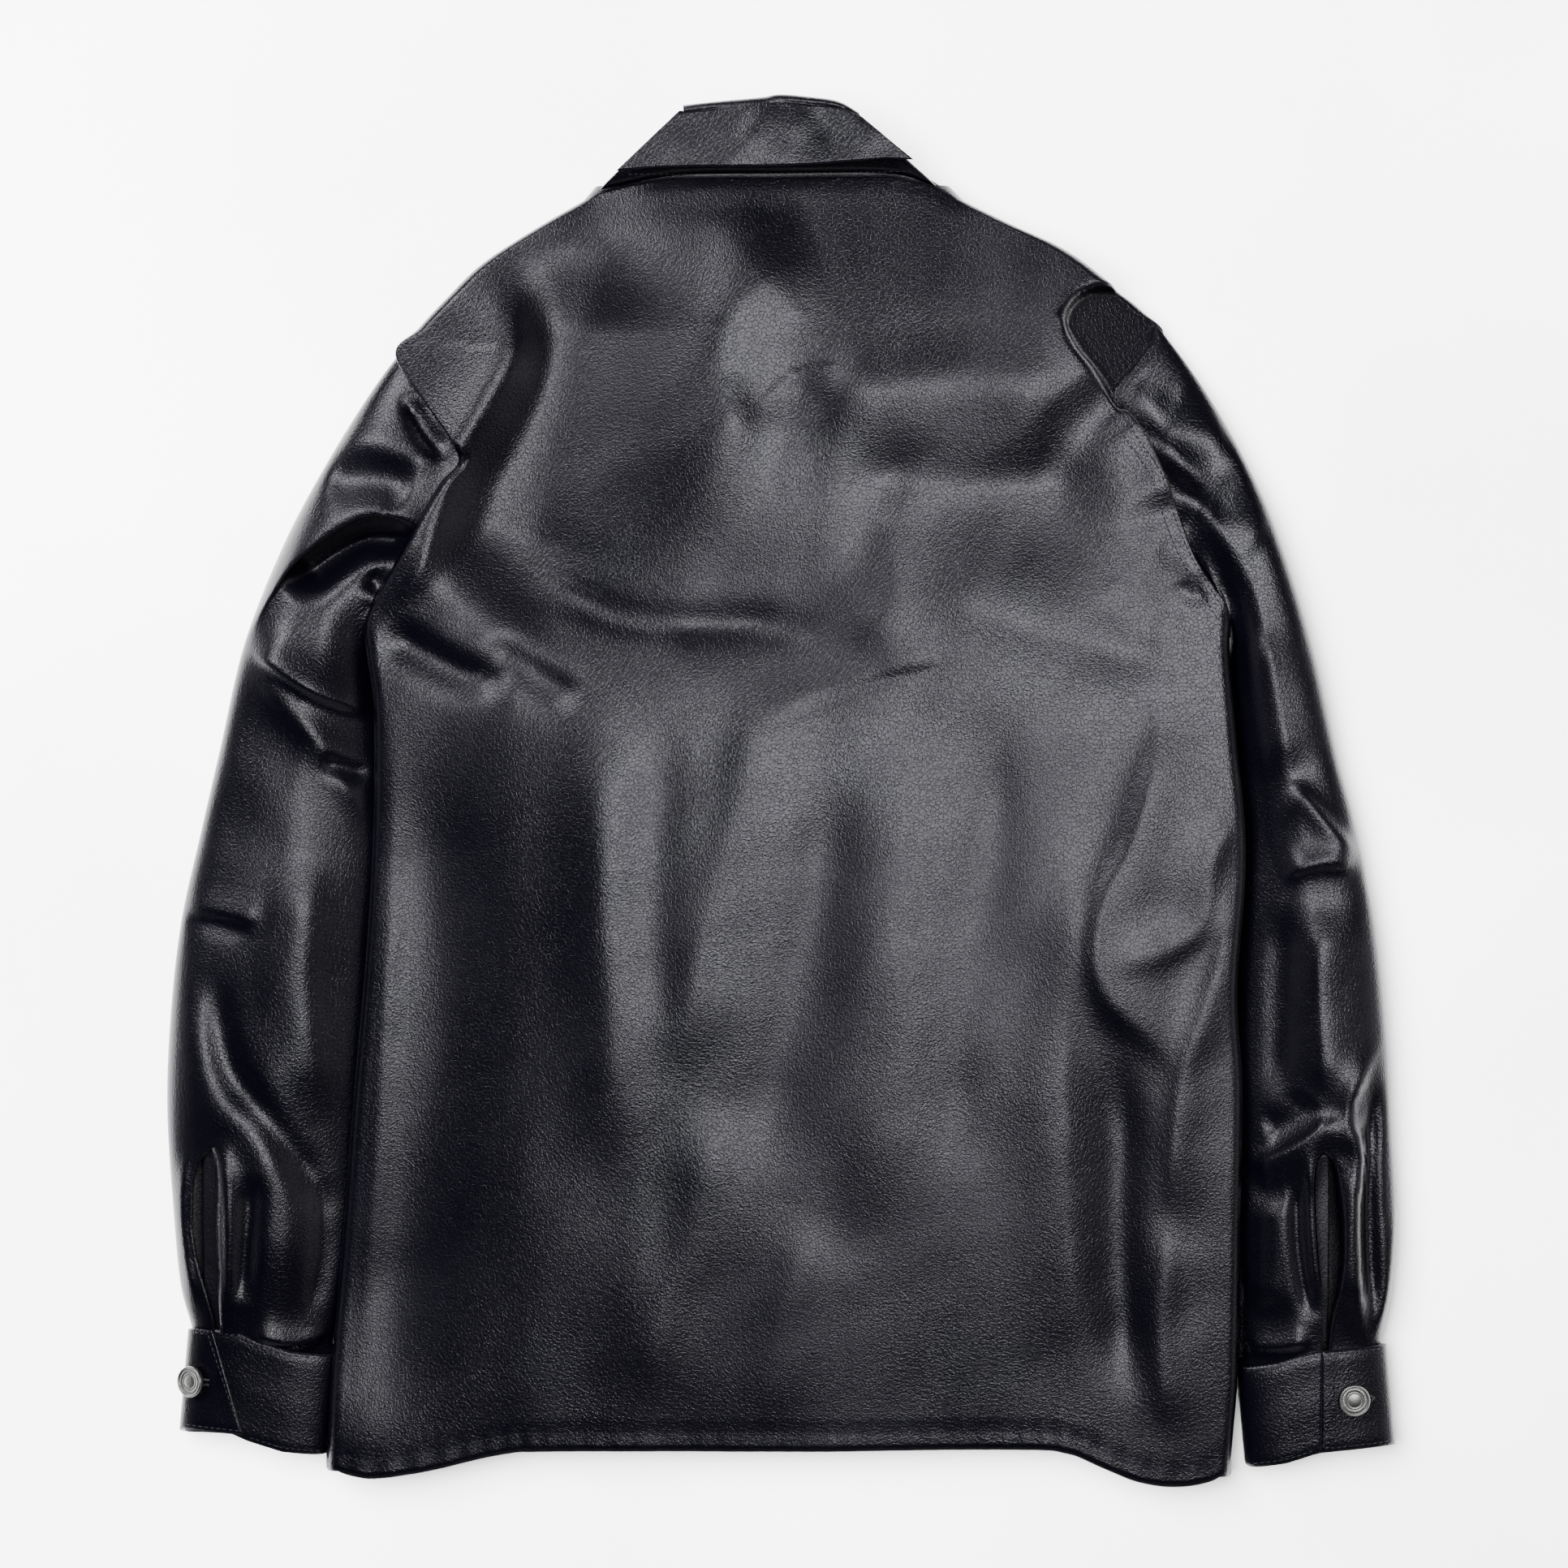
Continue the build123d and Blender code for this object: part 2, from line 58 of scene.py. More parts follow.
# ---- curves and folds
CREST_FALL, CREST_ROUND = 1.35, 0.6  # how fast a fold falls away from its crest, and how round that is
REACH, TAPER = 4.5, 0.25  # a fold ends this many widths from its crest, and tapers over this share


def resample(line, count):
    """The same line as count points at even distances."""
    run = np.concatenate([[0], np.cumsum(np.linalg.norm(np.diff(line, axis=0), axis=1))])
    at = np.linspace(0, run[-1], count)
    return np.column_stack([np.interp(at, run, line[:, i]) for i in range(line.shape[1])])


def pairs(*numbers):
    """Plan points from a run of x and y."""
    return list(zip(numbers[::2], numbers[1::2]))


def joined(*parts):
    """Points from their x, y and z. A single number is the same for all points."""
    return np.column_stack(np.broadcast_arrays(*parts))


def spline(points, count):
    """Catmull-Rom curve through points, as count evenly spaced points."""
    p = np.array(points, float)
    p = np.vstack([2 * p[0] - p[1], p, 2 * p[-1] - p[-2]])
    t = np.linspace(0, 1, 24, endpoint=False)[:, None]
    runs = []
    for a, b, c, d in zip(p[:-3], p[1:-2], p[2:-1], p[3:]):
        runs.append(0.5 * (2 * b + (c - a) * t + (2 * a - 5 * b + 4 * c - d) * t**2
                           + (3 * b - a - 3 * c + d) * t**3))
    return resample(np.vstack(runs + [p[-2:-1]]), count)


def smooth(x, low, high):
    """0 below low, 1 above high and a smooth step between."""
    t = np.clip((x - low) / (high - low), 0, 1)
    return t * t * (3 - 2 * t)


def fold(x, y, height, left, right, lean, *points):
    """What one fold adds to the surface at plan points, as (x, y, z).

    Its crest (or its valley, if height is negative) follows a curve. It has its own width on
    the curve's left and right, its ends taper, and it leans over to the left by lean."""
    line = spline(pairs(*points), 4 * len(points))
    reach = REACH * max(left, right)
    low, high = line.min(0) - reach, line.max(0) + reach
    near = (x > low[0]) & (x < high[0]) & (y > low[1]) & (y < high[1])
    px, py = x[near], y[near]
    best, side, along = np.full(px.shape, 1e9), np.zeros(px.shape), np.zeros(px.shape)
    normal_x, normal_y = np.zeros(px.shape), np.zeros(px.shape)
    for i, (a, b) in enumerate(zip(line[:-1], line[1:])):
        d = b - a
        t = np.clip(((px - a[0]) * d[0] + (py - a[1]) * d[1]) / (d @ d), 0, 1)
        gap = np.hypot(px - a[0] - t * d[0], py - a[1] - t * d[1])
        closer = gap < best
        best = np.where(closer, gap, best)
        along = np.where(closer, (i + t) / (len(line) - 1), along)
        side = np.where(closer, d[0] * (py - a[1]) - d[1] * (px - a[0]), side)
        normal_x = np.where(closer, -d[1] / np.hypot(*d), normal_x)
        normal_y = np.where(closer, d[0] / np.hypot(*d), normal_y)
    width = np.where(side > 0, left, right)
    share = best / width
    if height > 0:
        crest = np.exp(-CREST_FALL * (np.sqrt(share**2 + CREST_ROUND**2) - CREST_ROUND))
    else:
        crest = np.exp(-(share**2))
    shape = smooth(along, 0, TAPER) * smooth(1 - along, 0, TAPER) * crest
    out = np.zeros(x.shape + (3,))
    out[near] = np.stack([lean * shape * normal_x, lean * shape * normal_y, height * shape], -1)
    return out


def folded(x, y, folds):
    """The sum of several folds at plan points, as (x, y, z)."""
    total = np.zeros(x.shape + (3,))
    for shape in folds:
        total += fold(x, y, *shape)
    return total


def inside_of(x, y, outline, soft):
    """1 inside a closed plan outline and 0 outside it, with a soft edge."""
    line = spline(outline + outline[:1], 90)
    best, odd = np.full(x.shape, 1e9), np.zeros(x.shape, bool)
    for (x1, y1), (x2, y2) in zip(line[:-1], line[1:]):
        dx, dy = x2 - x1, y2 - y1
        t = np.clip(((x - x1) * dx + (y - y1) * dy) / (dx**2 + dy**2), 0, 1)
        best = np.minimum(best, np.hypot(x - x1 - t * dx, y - y1 - t * dy))
        if dy != 0:
            odd ^= ((y1 > y) != (y2 > y)) & (x < dx * (y - y1) / dy + x1)
    return smooth(np.where(odd, best, -best), -soft, soft)


def ripple(x, y, seed, wavelength, stretch=1.0):
    """Smooth waves between about -1 and 1, always the same for one seed."""
    rng = np.random.default_rng(seed)
    total = np.zeros(np.shape(x))
    for _ in range(9):
        angle = rng.uniform(0, 2 * pi)
        k = 2 * pi / (wavelength * rng.uniform(0.7, 1.6))
        total += np.sin(k * (x * cos(angle) + y * sin(angle) / stretch) + rng.uniform(0, 2 * pi))
    return total / 4.5


# ---- meshes
def new_object(name, data):
    """An object in the scene."""
    made = bpy.data.objects.new(name, data)
    bpy.context.scene.collection.objects.link(made)
    return made


def mesh_piece(name, points, faces, *materials):
    """Smooth-shaded object from points in millimetres."""
    mesh = bpy.data.meshes.new(name)
    mesh.from_pydata((np.asarray(points, float).reshape(-1, 3) * MM).tolist(), [], faces)
    for material in materials:
        mesh.materials.append(material)
    mesh.polygons.foreach_set("use_smooth", [True] * len(mesh.polygons))
    mesh.update()
    return new_object(name, mesh)


def grid_faces(rows, columns, wrap=False, flip=False):
    """Quads of a grid of points, row by row."""
    steps = columns if wrap else columns - 1
    r, c = np.meshgrid(np.arange(rows - 1), np.arange(steps), indexing="ij")
    n = (c + 1) % columns
    low, high = r * columns, (r + 1) * columns
    quads = np.stack([low + c, low + n, high + n, high + c], -1).reshape(-1, 4)
    return (quads[:, ::-1] if flip else quads).tolist()


def attach(piece, body):
    """The piece rides on one body. Given two, as (body, body, start, end), it stays fixed where it is."""
    if isinstance(body, str):
        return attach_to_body(piece, body)
    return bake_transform(piece)


def panel(name, grid, thickness, slot, body, *nodes, wrap=False, flip=False, move=Matrix()):
    """Sheet from a grid of points on its outer face. Coinciding points are joined. It stands
    for CAD nodes, which it hides, rides on one body (given two, it stays fixed where it is), and takes a
    material slot's finish."""
    faces = grid_faces(len(grid), len(grid[0]), wrap, flip)
    piece = mesh_piece(name, grid, faces, *FINISHES[slot])
    shape = bmesh.new()
    shape.from_mesh(piece.data)
    bmesh.ops.remove_doubles(shape, verts=shape.verts, dist=0.00002)
    bmesh.ops.dissolve_degenerate(shape, edges=shape.edges, dist=0.00001)
    shape.to_mesh(piece.data)
    shape.free()
    modifier = piece.modifiers.new("thickness", "SOLIDIFY")
    modifier.thickness = thickness * MM
    modifier.offset = -1
    modifier.material_offset = 1
    piece.data.transform(move)
    attach(piece, body)
    if nodes:
        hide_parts(*nodes)
    return piece


# ---- materials
def new_material(name):
    """A material and its shader, with functions that add a node to it and join two nodes."""
    material = bpy.data.materials.new(name)
    material.use_nodes = True
    nodes, links = material.node_tree.nodes, material.node_tree.links
    place = nodes.new("ShaderNodeTexCoord")

    def add(kind, values, **settings):
        node = nodes.new("ShaderNode" + kind)
        for key, value in settings.items():
            setattr(node, key, value)
        for key, value in values.items():
            node.inputs[key].default_value = value
        if kind.startswith("Tex"):
            links.new(place.outputs["Object"], node.inputs["Vector"])
        return node

    def join(source, output, target, entry):
        links.new(source.outputs[output], target.inputs[entry])

    return material, nodes["Principled BSDF"], add, join


def mottle(add, join, shader, noise, colour, dark, pale):
    """Uneven colour, between the dark and the pale share of one colour."""
    low, high = ((*[min(1, c * share) for c in colour], 1) for share in (dark, pale))
    tint = add("Mix", {"A": low, "B": high}, data_type="RGBA")
    join(noise, "Fac", tint, "Factor")
    join(tint, "Result", shader, "Base Color")


def leather(name, colour, rough, grain, crease):
    """Black leather: grain, pores and fine creases as bump, with uneven colour and gloss."""
    material, shader, add, join = new_material(name)
    cells = add("TexVoronoi", {"Scale": 900.0})
    pores = add("TexNoise", {"Scale": 420.0, "Detail": 4.0, "Roughness": 0.6})
    net = add("TexVoronoi", {"Scale": 430.0}, feature="DISTANCE_TO_EDGE")
    cloud = add("TexNoise", {"Scale": 11.0, "Detail": 4.0, "Roughness": 0.55})
    creases = add("MapRange", {"From Max": 0.14}, interpolation_type="SMOOTHSTEP")
    join(net, "Distance", creases, "Value")
    mottle(add, join, shader, cloud, colour, 0.8, 1.5)
    gloss = add("MapRange", {"From Min": 0.3, "From Max": 0.7,
                             "To Min": rough - 0.04, "To Max": rough + 0.05})
    join(cloud, "Fac", gloss, "Value")
    join(gloss, "Result", shader, "Roughness")
    layers = (creases, "Result", crease), (pores, "Fac", grain * 0.7), (cells, "Distance", grain)
    previous = None
    for source, socket, distance in layers:
        bump = add("Bump", {"Strength": 1.0, "Distance": distance * MM})
        join(source, socket, bump, "Height")
        if previous:
            join(previous, "Normal", bump, "Normal")
        previous = bump
    join(previous, "Normal", shader, "Normal")
    shader.inputs["Specular IOR Level"].default_value = 0.42
    shader.inputs["Specular Tint"].default_value = (0.94, 0.92, 1.0, 1.0)
    return material


def fine_surface(name, colour, rough, metallic, bump, scale):
    """Thread, metal or floor: slight unevenness of tone and height."""
    material, shader, add, join = new_material(name)
    noise = add("TexNoise", {"Scale": scale, "Detail": 4.0})
    mottle(add, join, shader, noise, colour, 0.6, 1.3)
    height = add("Bump", {"Distance": bump * MM})
    join(noise, "Fac", height, "Height")
    join(height, "Normal", shader, "Normal")
    shader.inputs["Roughness"].default_value = rough
    shader.inputs["Metallic"].default_value = metallic
    return material


LEATHER = leather("black_leather", (0.00016, 0.00014, 0.0005), 0.28, grain=0.085, crease=0.04)
INSIDE = leather("inside_leather", (0.0002, 0.00018, 0.0005), 0.42, grain=0.10, crease=0.04)
THREAD = fine_surface("navy_thread", (0.0016, 0.0015, 0.0034), 0.5, 0.0, 0.12, 2500.0)
METAL = fine_surface("antique_silver", (0.23, 0.23, 0.225), 0.36, 1.0, 0.03, 700.0)
FINISHES = {"body_leather": (LEATHER, INSIDE), "leather_inside": (INSIDE, INSIDE),
            "collar_leather": (LEATHER, LEATHER), "button_metal": (METAL, METAL)}

# ---- outlines
HEM = pairs(-257, -376, -251, -382, -240, -385.3, -228, -386, -200, -382, -160, -373, -130, -371,
            0, -371, 130, -370, 160, -372, 180, -380, 200, -388, 220, -391, 238, -389, 247, -385,
            251, -380)
LEFT_EDGE = pairs(-258, -376, -256, -320, -249.5, -240, -244, -170, -237, -90, -233, -20, -232, 45,
                  -236, 78, -237, 98, -226, 118, -214, 136, -203, 156, -192, 174, -182, 192, -201, 220,
                  -219, 248, -206, 264, -190, 281, -170, 301, -140, 321, -107, 341)
RIGHT_EDGE = pairs(252, -379, 255, -350, 257.5, -320, 259, -240, 260, -165, 257, -110, 262, -35, 257, 30,
                   253, 80, 253, 102, 243, 118, 232, 136, 222, 163, 214, 184, 203, 206, 191, 221,
                   188, 230, 203, 247, 217, 262, 205, 275, 190, 287, 160, 309, 130, 323, 95, 341)
NECK = pairs(-107, 341, -94, 349, -60, 352, 0, 352, 60, 353, 84, 348, 95, 341)
BOTTOM_Y, TOP_Y = -371.0, 341.0
EDGE_POINTS, SLEEVE_POINTS = 900, 600  # how finely the outlines and the sleeves are sampled
LEFT_SEAM, RIGHT_SEAM = (195, 255), (106, 268)  # the heights between which each armhole seam lies
FLAT_TOP = 28.6  # height of the back's outer face between its folds
ROLL, SEAM_ROLL, COLLAR_ROLL = 6.5, 1.0, 2.3  # radii: the back's sides, at a seam, the collar
LOWEST = 0.2  # nothing of a sleeve or cuff lies below this height
HEM_BAND = 10  # depth of the turned-up hem
BUTTON_TOP, BUTTON_PITCH = 215, 95  # y of the highest front button, and down to the next
SEAM_ROWS = 2.2, 8.0  # how far the armhole's stitch rows lie from its seam
BODY_SKIN, FRONT_SKIN, BAND_SKIN, COLLAR_SKIN, LEAF_SKIN = 1.2, 1.3, 1.1, 1.6, 2.2  # thicknesses
TAB_SKIN, LINING_SKIN, METAL_SKIN = 1.5, 1.0, 0.25
SIDES = {-1: "left", 1: "right"}
FOLD_LINE_X, BEND, OVERLAP, BAND = 106.0, 7, 17.0, 42.0  # BEND: half the width of the strip about the fold line
FRONT_RISE, RISE_FOOT, RISE_TOP, NECK_LIFT = 8.4, 84.0, 25.0, 2.6
LOOP = pairs(190, 219, 176, 237, 163, 253, 157, 269, 166, 283, 184, 288, 204, 281, 226, 268, 240, 246,
             214, 222)  # the sunken patch at the right shoulder

# Folds of the back: height, widths on the left and right, lean to the left, x and y of the points.
BACK_FOLDS = [
    (7.5, 9, 18, -3, -151, 302, -151, 272, -148, 247, -163, 218, -181, 188, -192, 156, -202, 128,
     -217, 110, -233, 97),
    (-12, 62, 24, 0, -128, 316, -127, 262, -130, 232, -141, 206, -158, 174, -170, 142, -192, 108),
    (5.5, 24, 60, 0, 24, 309, -6, 296, -31, 271, -43, 243, -40, 224, -28, 204, 0, 190),
    (-1.1, 15, 15, 0, -30, 222, 0, 224, 34, 221),
    (5.5, 27, 28, 0, 6, 224, 60, 231, 110, 232, 150, 226, 176, 216),
    (-5, 24, 52, 0, 26, 182, 80, 172, 130, 170, 194, 178),
    (-6, 66, 34, 0, -192, 128, -110, 112, -50, 104, 10, 99, 66, 96),
    (-2.6, 12, 9, 0, -142, 118, -92, 99, -60, 95, -10, 95, 24, 92),
    (1.8, 30, 11, 0, 46, 180, 62, 142, 60, 106, 38, 78),
    (3, 40, 20, 0, 70, 120, 130, 102, 186, 84, 236, 80),
    (-0.8, 9, 13, 0, 184, 116, 192, 100, 206, 90, 224, 92),
    (-0.9, 8, 9, 0, 210, 140, 228, 133, 239, 118),
    (1.0, 5, 5, 0, 222, 120, 231, 112, 240, 114),
    (-4, 9, 12, 0, -228, 96, -206, 82, -178, 68, -150, 62),
    (-2.5, 9, 12, 0, -170, 88, -140, 68, -112, 50),
    (-0.4, 2.2, 3.2, 0, -12, 34, 20, 51, 55, 64, 99, 73),
    (0.5, 6, 4, 0, -14, 42, 20, 58, 55, 71, 98, 80),
    (2.2, 9, 9, 0, -222, 74, -221, 20, -222, -40, -225, -120, -231, -230, -240, -345),
    (-10, 44, 60, 0, -222, 70, -214, 0, -203, -70, -199, -140, -207, -220, -222, -290, -236, -372),
    (2.6, 30, 16, 0, -96, 72, -104, 10, -100, -60, -96, -140, -104, -220),
    (2.5, 12, 22, 0, 157, 8, 160, -80, 157, -160, 160, -250, 168, -345),
    (-4, 12, 15, 0, 178, -140, 190, -180, 190, -260, 196, -350),
    (5, 40, 9, 0, 215, 64, 211, 22, 199, -24, 182, -60, 177, -94, 187, -119, 211, -140, 229, -165),
    (2.6, 8, 14, 0, 262, 0, 243, -35, 236, -72, 215, -89, 178, -99),
    (3.2, 16, 8, 0, 252, -36, 249, -85, 238, -125, 226, -160, 221, -205, 222, -256),
    (2.5, 12, 9, 0, 219, -232, 213, -310, 222, -370),
    (1.8, 18, 30, 0, -92, 66, -104, -90, -84, -240, -100, -345),
    (2.6, 26, 14, 0, -12, 72, -20, 14, -38, -60, -50, -110, -58, -170),
    (-1.6, 15, 18, 0, -64, 44, -74, -60, -66, -140),
    (-2, 22, 16, 0, 28, 20, 20, -50, -2, -160, -10, -220),
    (1.8, 18, 26, 0, 72, 40, 62, -60, 66, -160, 40, -260),
    (-2, 16, 20, 0, 110, 60, 118, -20, 98, -130, 104, -230),
    (2.2, 22, 14, 0, -34, -170, -52, -250, -70, -300, -74, -366),
    (1.5, 18, 12, 0, 20, -236, 2, -290, -14, -366),
    (5, 2.4, 30, 2.5, 204, 279, 184, 288, 166, 283, 157, 269, 162, 253, 175, 238, 190, 221),
    (3.5, 3, 22, 0, 190, 221, 203, 205, 213, 188, 224, 160),
]


def edge_x(edge, y):
    """x of a side outline at heights y."""
    line = spline(edge, EDGE_POINTS)
    return np.interp(y, line[:, 1], line[:, 0])


def hem_y(x):
    """y of the hem at plan x."""
    line = spline(HEM, EDGE_POINTS)
    return np.interp(x, line[:, 0], line[:, 1])


def neck_y(x):
    """y of the neck edge at plan x."""
    return np.interp(x, *np.array(NECK, float).T)


def between(y, band):
    """1 at the heights of an armhole seam, and 0 away from it."""
    return smooth(y, band[0] - 5, band[0] + 3) * (1 - smooth(y, band[1] - 3, band[1] + 8))


def crowded(count, low, high, dense):
    """Steps from low to high, twice as close inside the dense ranges."""
    fine = np.linspace(low, high, 2000)
    weight = 1.0 + sum((fine > a) & (fine < b) for a, b in dense)
    total = np.cumsum(weight)
    return np.interp(np.linspace(total[0], total[-1], count), total, fine)


def back_piece():
    """The one-piece back: rolled at its sides and shoulders, hem turned up inside."""
    rows, columns, turns = 240, 186, 9

    def radius(y, seam):
        return ROLL + (SEAM_ROLL - ROLL) * between(y, seam)

    y_line = crowded(rows, BOTTOM_Y, TOP_Y, [(60, 300)])
    u, v = crowded(columns, 0, 1, [(0, 0.24), (0.76, 1)]), (y_line - BOTTOM_Y) / (TOP_Y - BOTTOM_Y)
    left = edge_x(LEFT_EDGE, y_line) + radius(y_line, LEFT_SEAM)
    right = edge_x(RIGHT_EDGE, y_line) - radius(y_line, RIGHT_SEAM)
    x = left[:, None] * (1 - u) + right[:, None] * u
    y = np.repeat(y_line[:, None], columns, 1)
    y += (hem_y(x) - BOTTOM_Y) * (1 - smooth(v, 0, 0.12))[:, None]
    y += (neck_y(x) - TOP_Y) * smooth(v, 0.9, 1)[:, None]
    z = FLAT_TOP + 1.1 * ripple(x, y, 3, 150, 1.8) + 0.42 * ripple(x, y, 8, 58, 1.8)
    z += 0.12 * ripple(x, y, 9, 22, 1.5)
    shift = folded(x, y, BACK_FOLDS)
    rise = y - hem_y(x)
    z += shift[..., 2] * (0.35 + 0.65 * smooth(rise, 4, 60)) * (1 - 0.8 * smooth(y, 318, 342))
    z -= 7 * smooth(y, 268, 356) + 1.2 * smooth(y - neck_y(x), -12, 0)
    sunk = inside_of(x, y, LOOP, 2.8)
    z += sunk * (25 - 0.28 * (x - 160) - z)
    band = 1 - smooth(rise, 8, 15)
    pucker = 0.22 * np.sin(x / 2.1 + 2.5 * np.sin(x / 23)) - 0.2
    z += band * pucker - 0.8 * np.exp(-((rise - 10.5) / 1.8) ** 2)
    sheet = np.stack([x + shift[..., 0], y + shift[..., 1], z], -1)
    for sign, seam in ((-1, LEFT_SEAM), (1, RIGHT_SEAM)):
        base = sheet[:, 0 if sign < 0 else -1]
        r = radius(y[:, 0], seam)
        depth = np.minimum((base[:, 2] - 1.4) / 2, r * 1.1)
        for i in range(1, turns + 1):
            angle = pi * i / turns
            column = base.copy()
            column[:, 0] += sign * r * sin(angle)
            column[:, 2] -= depth * (1 - cos(angle))
            sheet = np.concatenate([column[:, None], sheet] if sign < 0 else [sheet, column[:, None]], 1)
    turned = [sheet[0] + (0, back, lift) for back, lift in ((10.0, -2.6), (0.6, -2.2), (-0.6, -1.2))]
    sheet = np.concatenate([turned, sheet])
    return panel("back_body", sheet, BODY_SKIN, "body_leather", "torso", "back_panel")


def neck_facing():
    """Crescent of leather inside the back of the neck."""
    u, v = np.meshgrid(np.linspace(0, 1, 60), np.linspace(0, 1, 14))
    top = spline([(-91, 345), (-60, 348.5), (0, 349), (60, 350), (76, 345)], 60)
    low = spline([(-91, 345), (-72, 322), (0, 304), (62, 324), (76, 345)], 60)
    x = top[:, 0] * (1 - v) + low[:, 0] * v
    y = top[:, 1] * (1 - v) + low[:, 1] * v
    sheet = np.stack([x, y, 16.5 + 0 * u], -1)
    panel("neck_facing", sheet, BAND_SKIN, "leather_inside", "torso", "back_neck_facing")


# ---- fronts
def front_z(side, x, y):
    """Height of the outer face of a front, which looks down."""
    lift = NECK_LIFT * smooth(y, 230, 250)
    wave = 0.45 * (1 + ripple(x, y, 21 + side, 90, 1.5)) * smooth(np.abs(x), 60, 120)
    climb = smooth(RISE_FOOT - x, 0, RISE_FOOT - RISE_TOP) * (side > 0)
    return 0.1 + lift + wave + (FRONT_RISE - lift) * climb


def neckline_x(side, y):
    """x of a front's inner edge: the closing edge, then the neckline."""
    end = [(-88, 322), (-106, 341), (-106.5, 360)] if side < 0 else [(74, 322), (86, 338), (84, 360)]
    line = [(-side * OVERLAP, -400), (-side * OVERLAP, 262), (side * 20, 268), (side * 58, 292)] + end
    return np.interp(y, *np.array(line, float)[:, ::-1].T)


def front_piece(side):
    """One front, from its side to its closing edge, with closer columns about its fold line."""
    name = SIDES[side]
    edge, seam = (LEFT_EDGE, LEFT_SEAM) if side < 0 else (RIGHT_EDGE, RIGHT_SEAM)
    rows, line = 190, side * FOLD_LINE_X
    y_line = np.linspace(BOTTOM_Y, TOP_Y, rows)
    outer = edge_x(edge, y_line) - side * (9 - 8 * between(y_line, seam))
    inner = neckline_x(side, y_line)
    near, far = line + side * BEND, line - side * BEND
    flat = [outer + (near - outer) * u for u in np.linspace(0, 1, 46)]
    bend = [np.full(rows, v) for v in np.linspace(near, far, 15)[1:-1]]
    loose = [far + (inner - far) * u for u in np.linspace(0, 1, 44)]
    columns = flat + bend + loose
    x = np.stack([np.clip(c, np.minimum(inner, outer), np.maximum(inner, outer)) for c in columns], 1)
    y = np.repeat(y_line[:, None], x.shape[1], 1)
    y += (hem_y(x) - BOTTOM_Y) * (1 - smooth(y_line, BOTTOM_Y, BOTTOM_Y + 80))[:, None]
    sheet = np.stack([x, y, front_z(side, x, y)], -1)
    bodies = "torso", f"{name}_front", (near * MM, 0, 0), (far * MM, 0, 0)
    return panel(f"{name}_front_body", sheet, FRONT_SKIN, "body_leather", bodies,
                 f"{name}_front_panel", f"{name}_front_edge", flip=side < 0)


def front_band(side):
    """Second ply along a closing edge."""
    name = SIDES[side]
    x_line = -side * (OVERLAP - 0.6 - np.linspace(0, 1, 14) * (BAND - 0.6))
    y_line = np.linspace(-369.5, 264, 160)
    x, y = np.meshgrid(x_line, y_line)
    y = y + (0.14 * np.abs(x + side * OVERLAP)) * smooth(y, 200, 264)
    z = front_z(side, x, y) + 1.5
    sheet = np.stack([x, y, z + 0.08 * ripple(x, y, 31, 12)], -1)
    panel(f"{name}_front_band", sheet, BAND_SKIN, "leather_inside", f"{name}_front",
          f"{name}_front_facing", flip=side < 0)


# ---- collar
def collar_piece():
    """Stand and fall in one piece: up from the neck edge, round the roll and back down."""
    columns = 120
    foot = spline([(-103.5, 342), (-60, 350), (0, 351), (60, 351), (86, 344)], columns)
    stand_top = spline([(-60, 383), (-40, 384.6), (0, 386), (22, 385), (43, 381)], columns)
    crest = spline([(-56, 385.5), (-40, 387.4), (-12, 390), (-2, 391.6), (12, 390.6), (30, 388),
                    (42, 381.5)], columns)
    edge = spline([(-93.5, 349.8), (-80, 351), (-60, 352), (0, 352.6), (40, 355.2), (58, 356.6),
                   (73, 356)], columns)
    x_roll = crest[:, 0]
    bulge = 1.4 * np.exp(-((x_roll + 12) / 9) ** 2) - 1.3 * np.exp(-((x_roll - 18) / 8) ** 2)
    rows = [joined(*(foot + (stand_top - foot) * v).T, 24.0 + 12.5 * v ** 0.8)
            for v in np.linspace(0, 1, 10)]
    for angle in np.linspace(-70, 80, 9):
        turn = radians(angle)
        y = crest[:, 1] - COLLAR_ROLL + COLLAR_ROLL * cos(turn)
        rows.append(joined(x_roll, y, 38.7 + COLLAR_ROLL * sin(turn)))
    for v in np.linspace(0.06, 1, 26):
        plan = crest + (edge - crest) * v
        z = 40.5 + 0.4 * np.sin(pi * v) + 0.8 * v + bulge * np.sin(pi * np.clip(v * 1.05, 0, 1)) ** 0.8
        rows.append(joined(*plan.T, z + 0.25 * ripple(*plan.T, 5, 26)))
    return panel("collar", rows, COLLAR_SKIN, "collar_leather",
                 ("torso", "collar_fall", (0, 0, 0.0330), (0, 0, 0.0366)),
                 "collar_stand", "under_collar", "upper_collar")


def collar_leaf(side):
    """Front end of the collar, two plies thick, inside the neckline."""
    name = SIDES[side]
    if side < 0:
        outer = [(-57, 385), (-80, 364), (-104, 341), (-95, 305), (-81, 257)]
        inner = [(-57, 385), (-50, 362), (-45, 338), (-8, 296), (-40, 278), (-81, 257)]
    else:
        outer = [(41, 385), (60, 366), (82, 345), (82, 305), (81, 257)]
        inner = [(41, 385), (42, 362), (42, 338), (8, 296), (40, 278), (81, 257)]
    a, b = spline(outer, 60), spline(inner, 60)
    v = np.linspace(0, 1, 24)[:, None, None]
    plan = a * (1 - v) + b * v
    z = np.full(plan.shape[:2] + (1,), 0.15)
    grid = np.concatenate([plan, z], -1)
    panel(f"{name}_collar_leaf", grid, LEAF_SKIN, "collar_leather", f"{name}_front",
          f"{name}_collar_end", flip=side < 0)


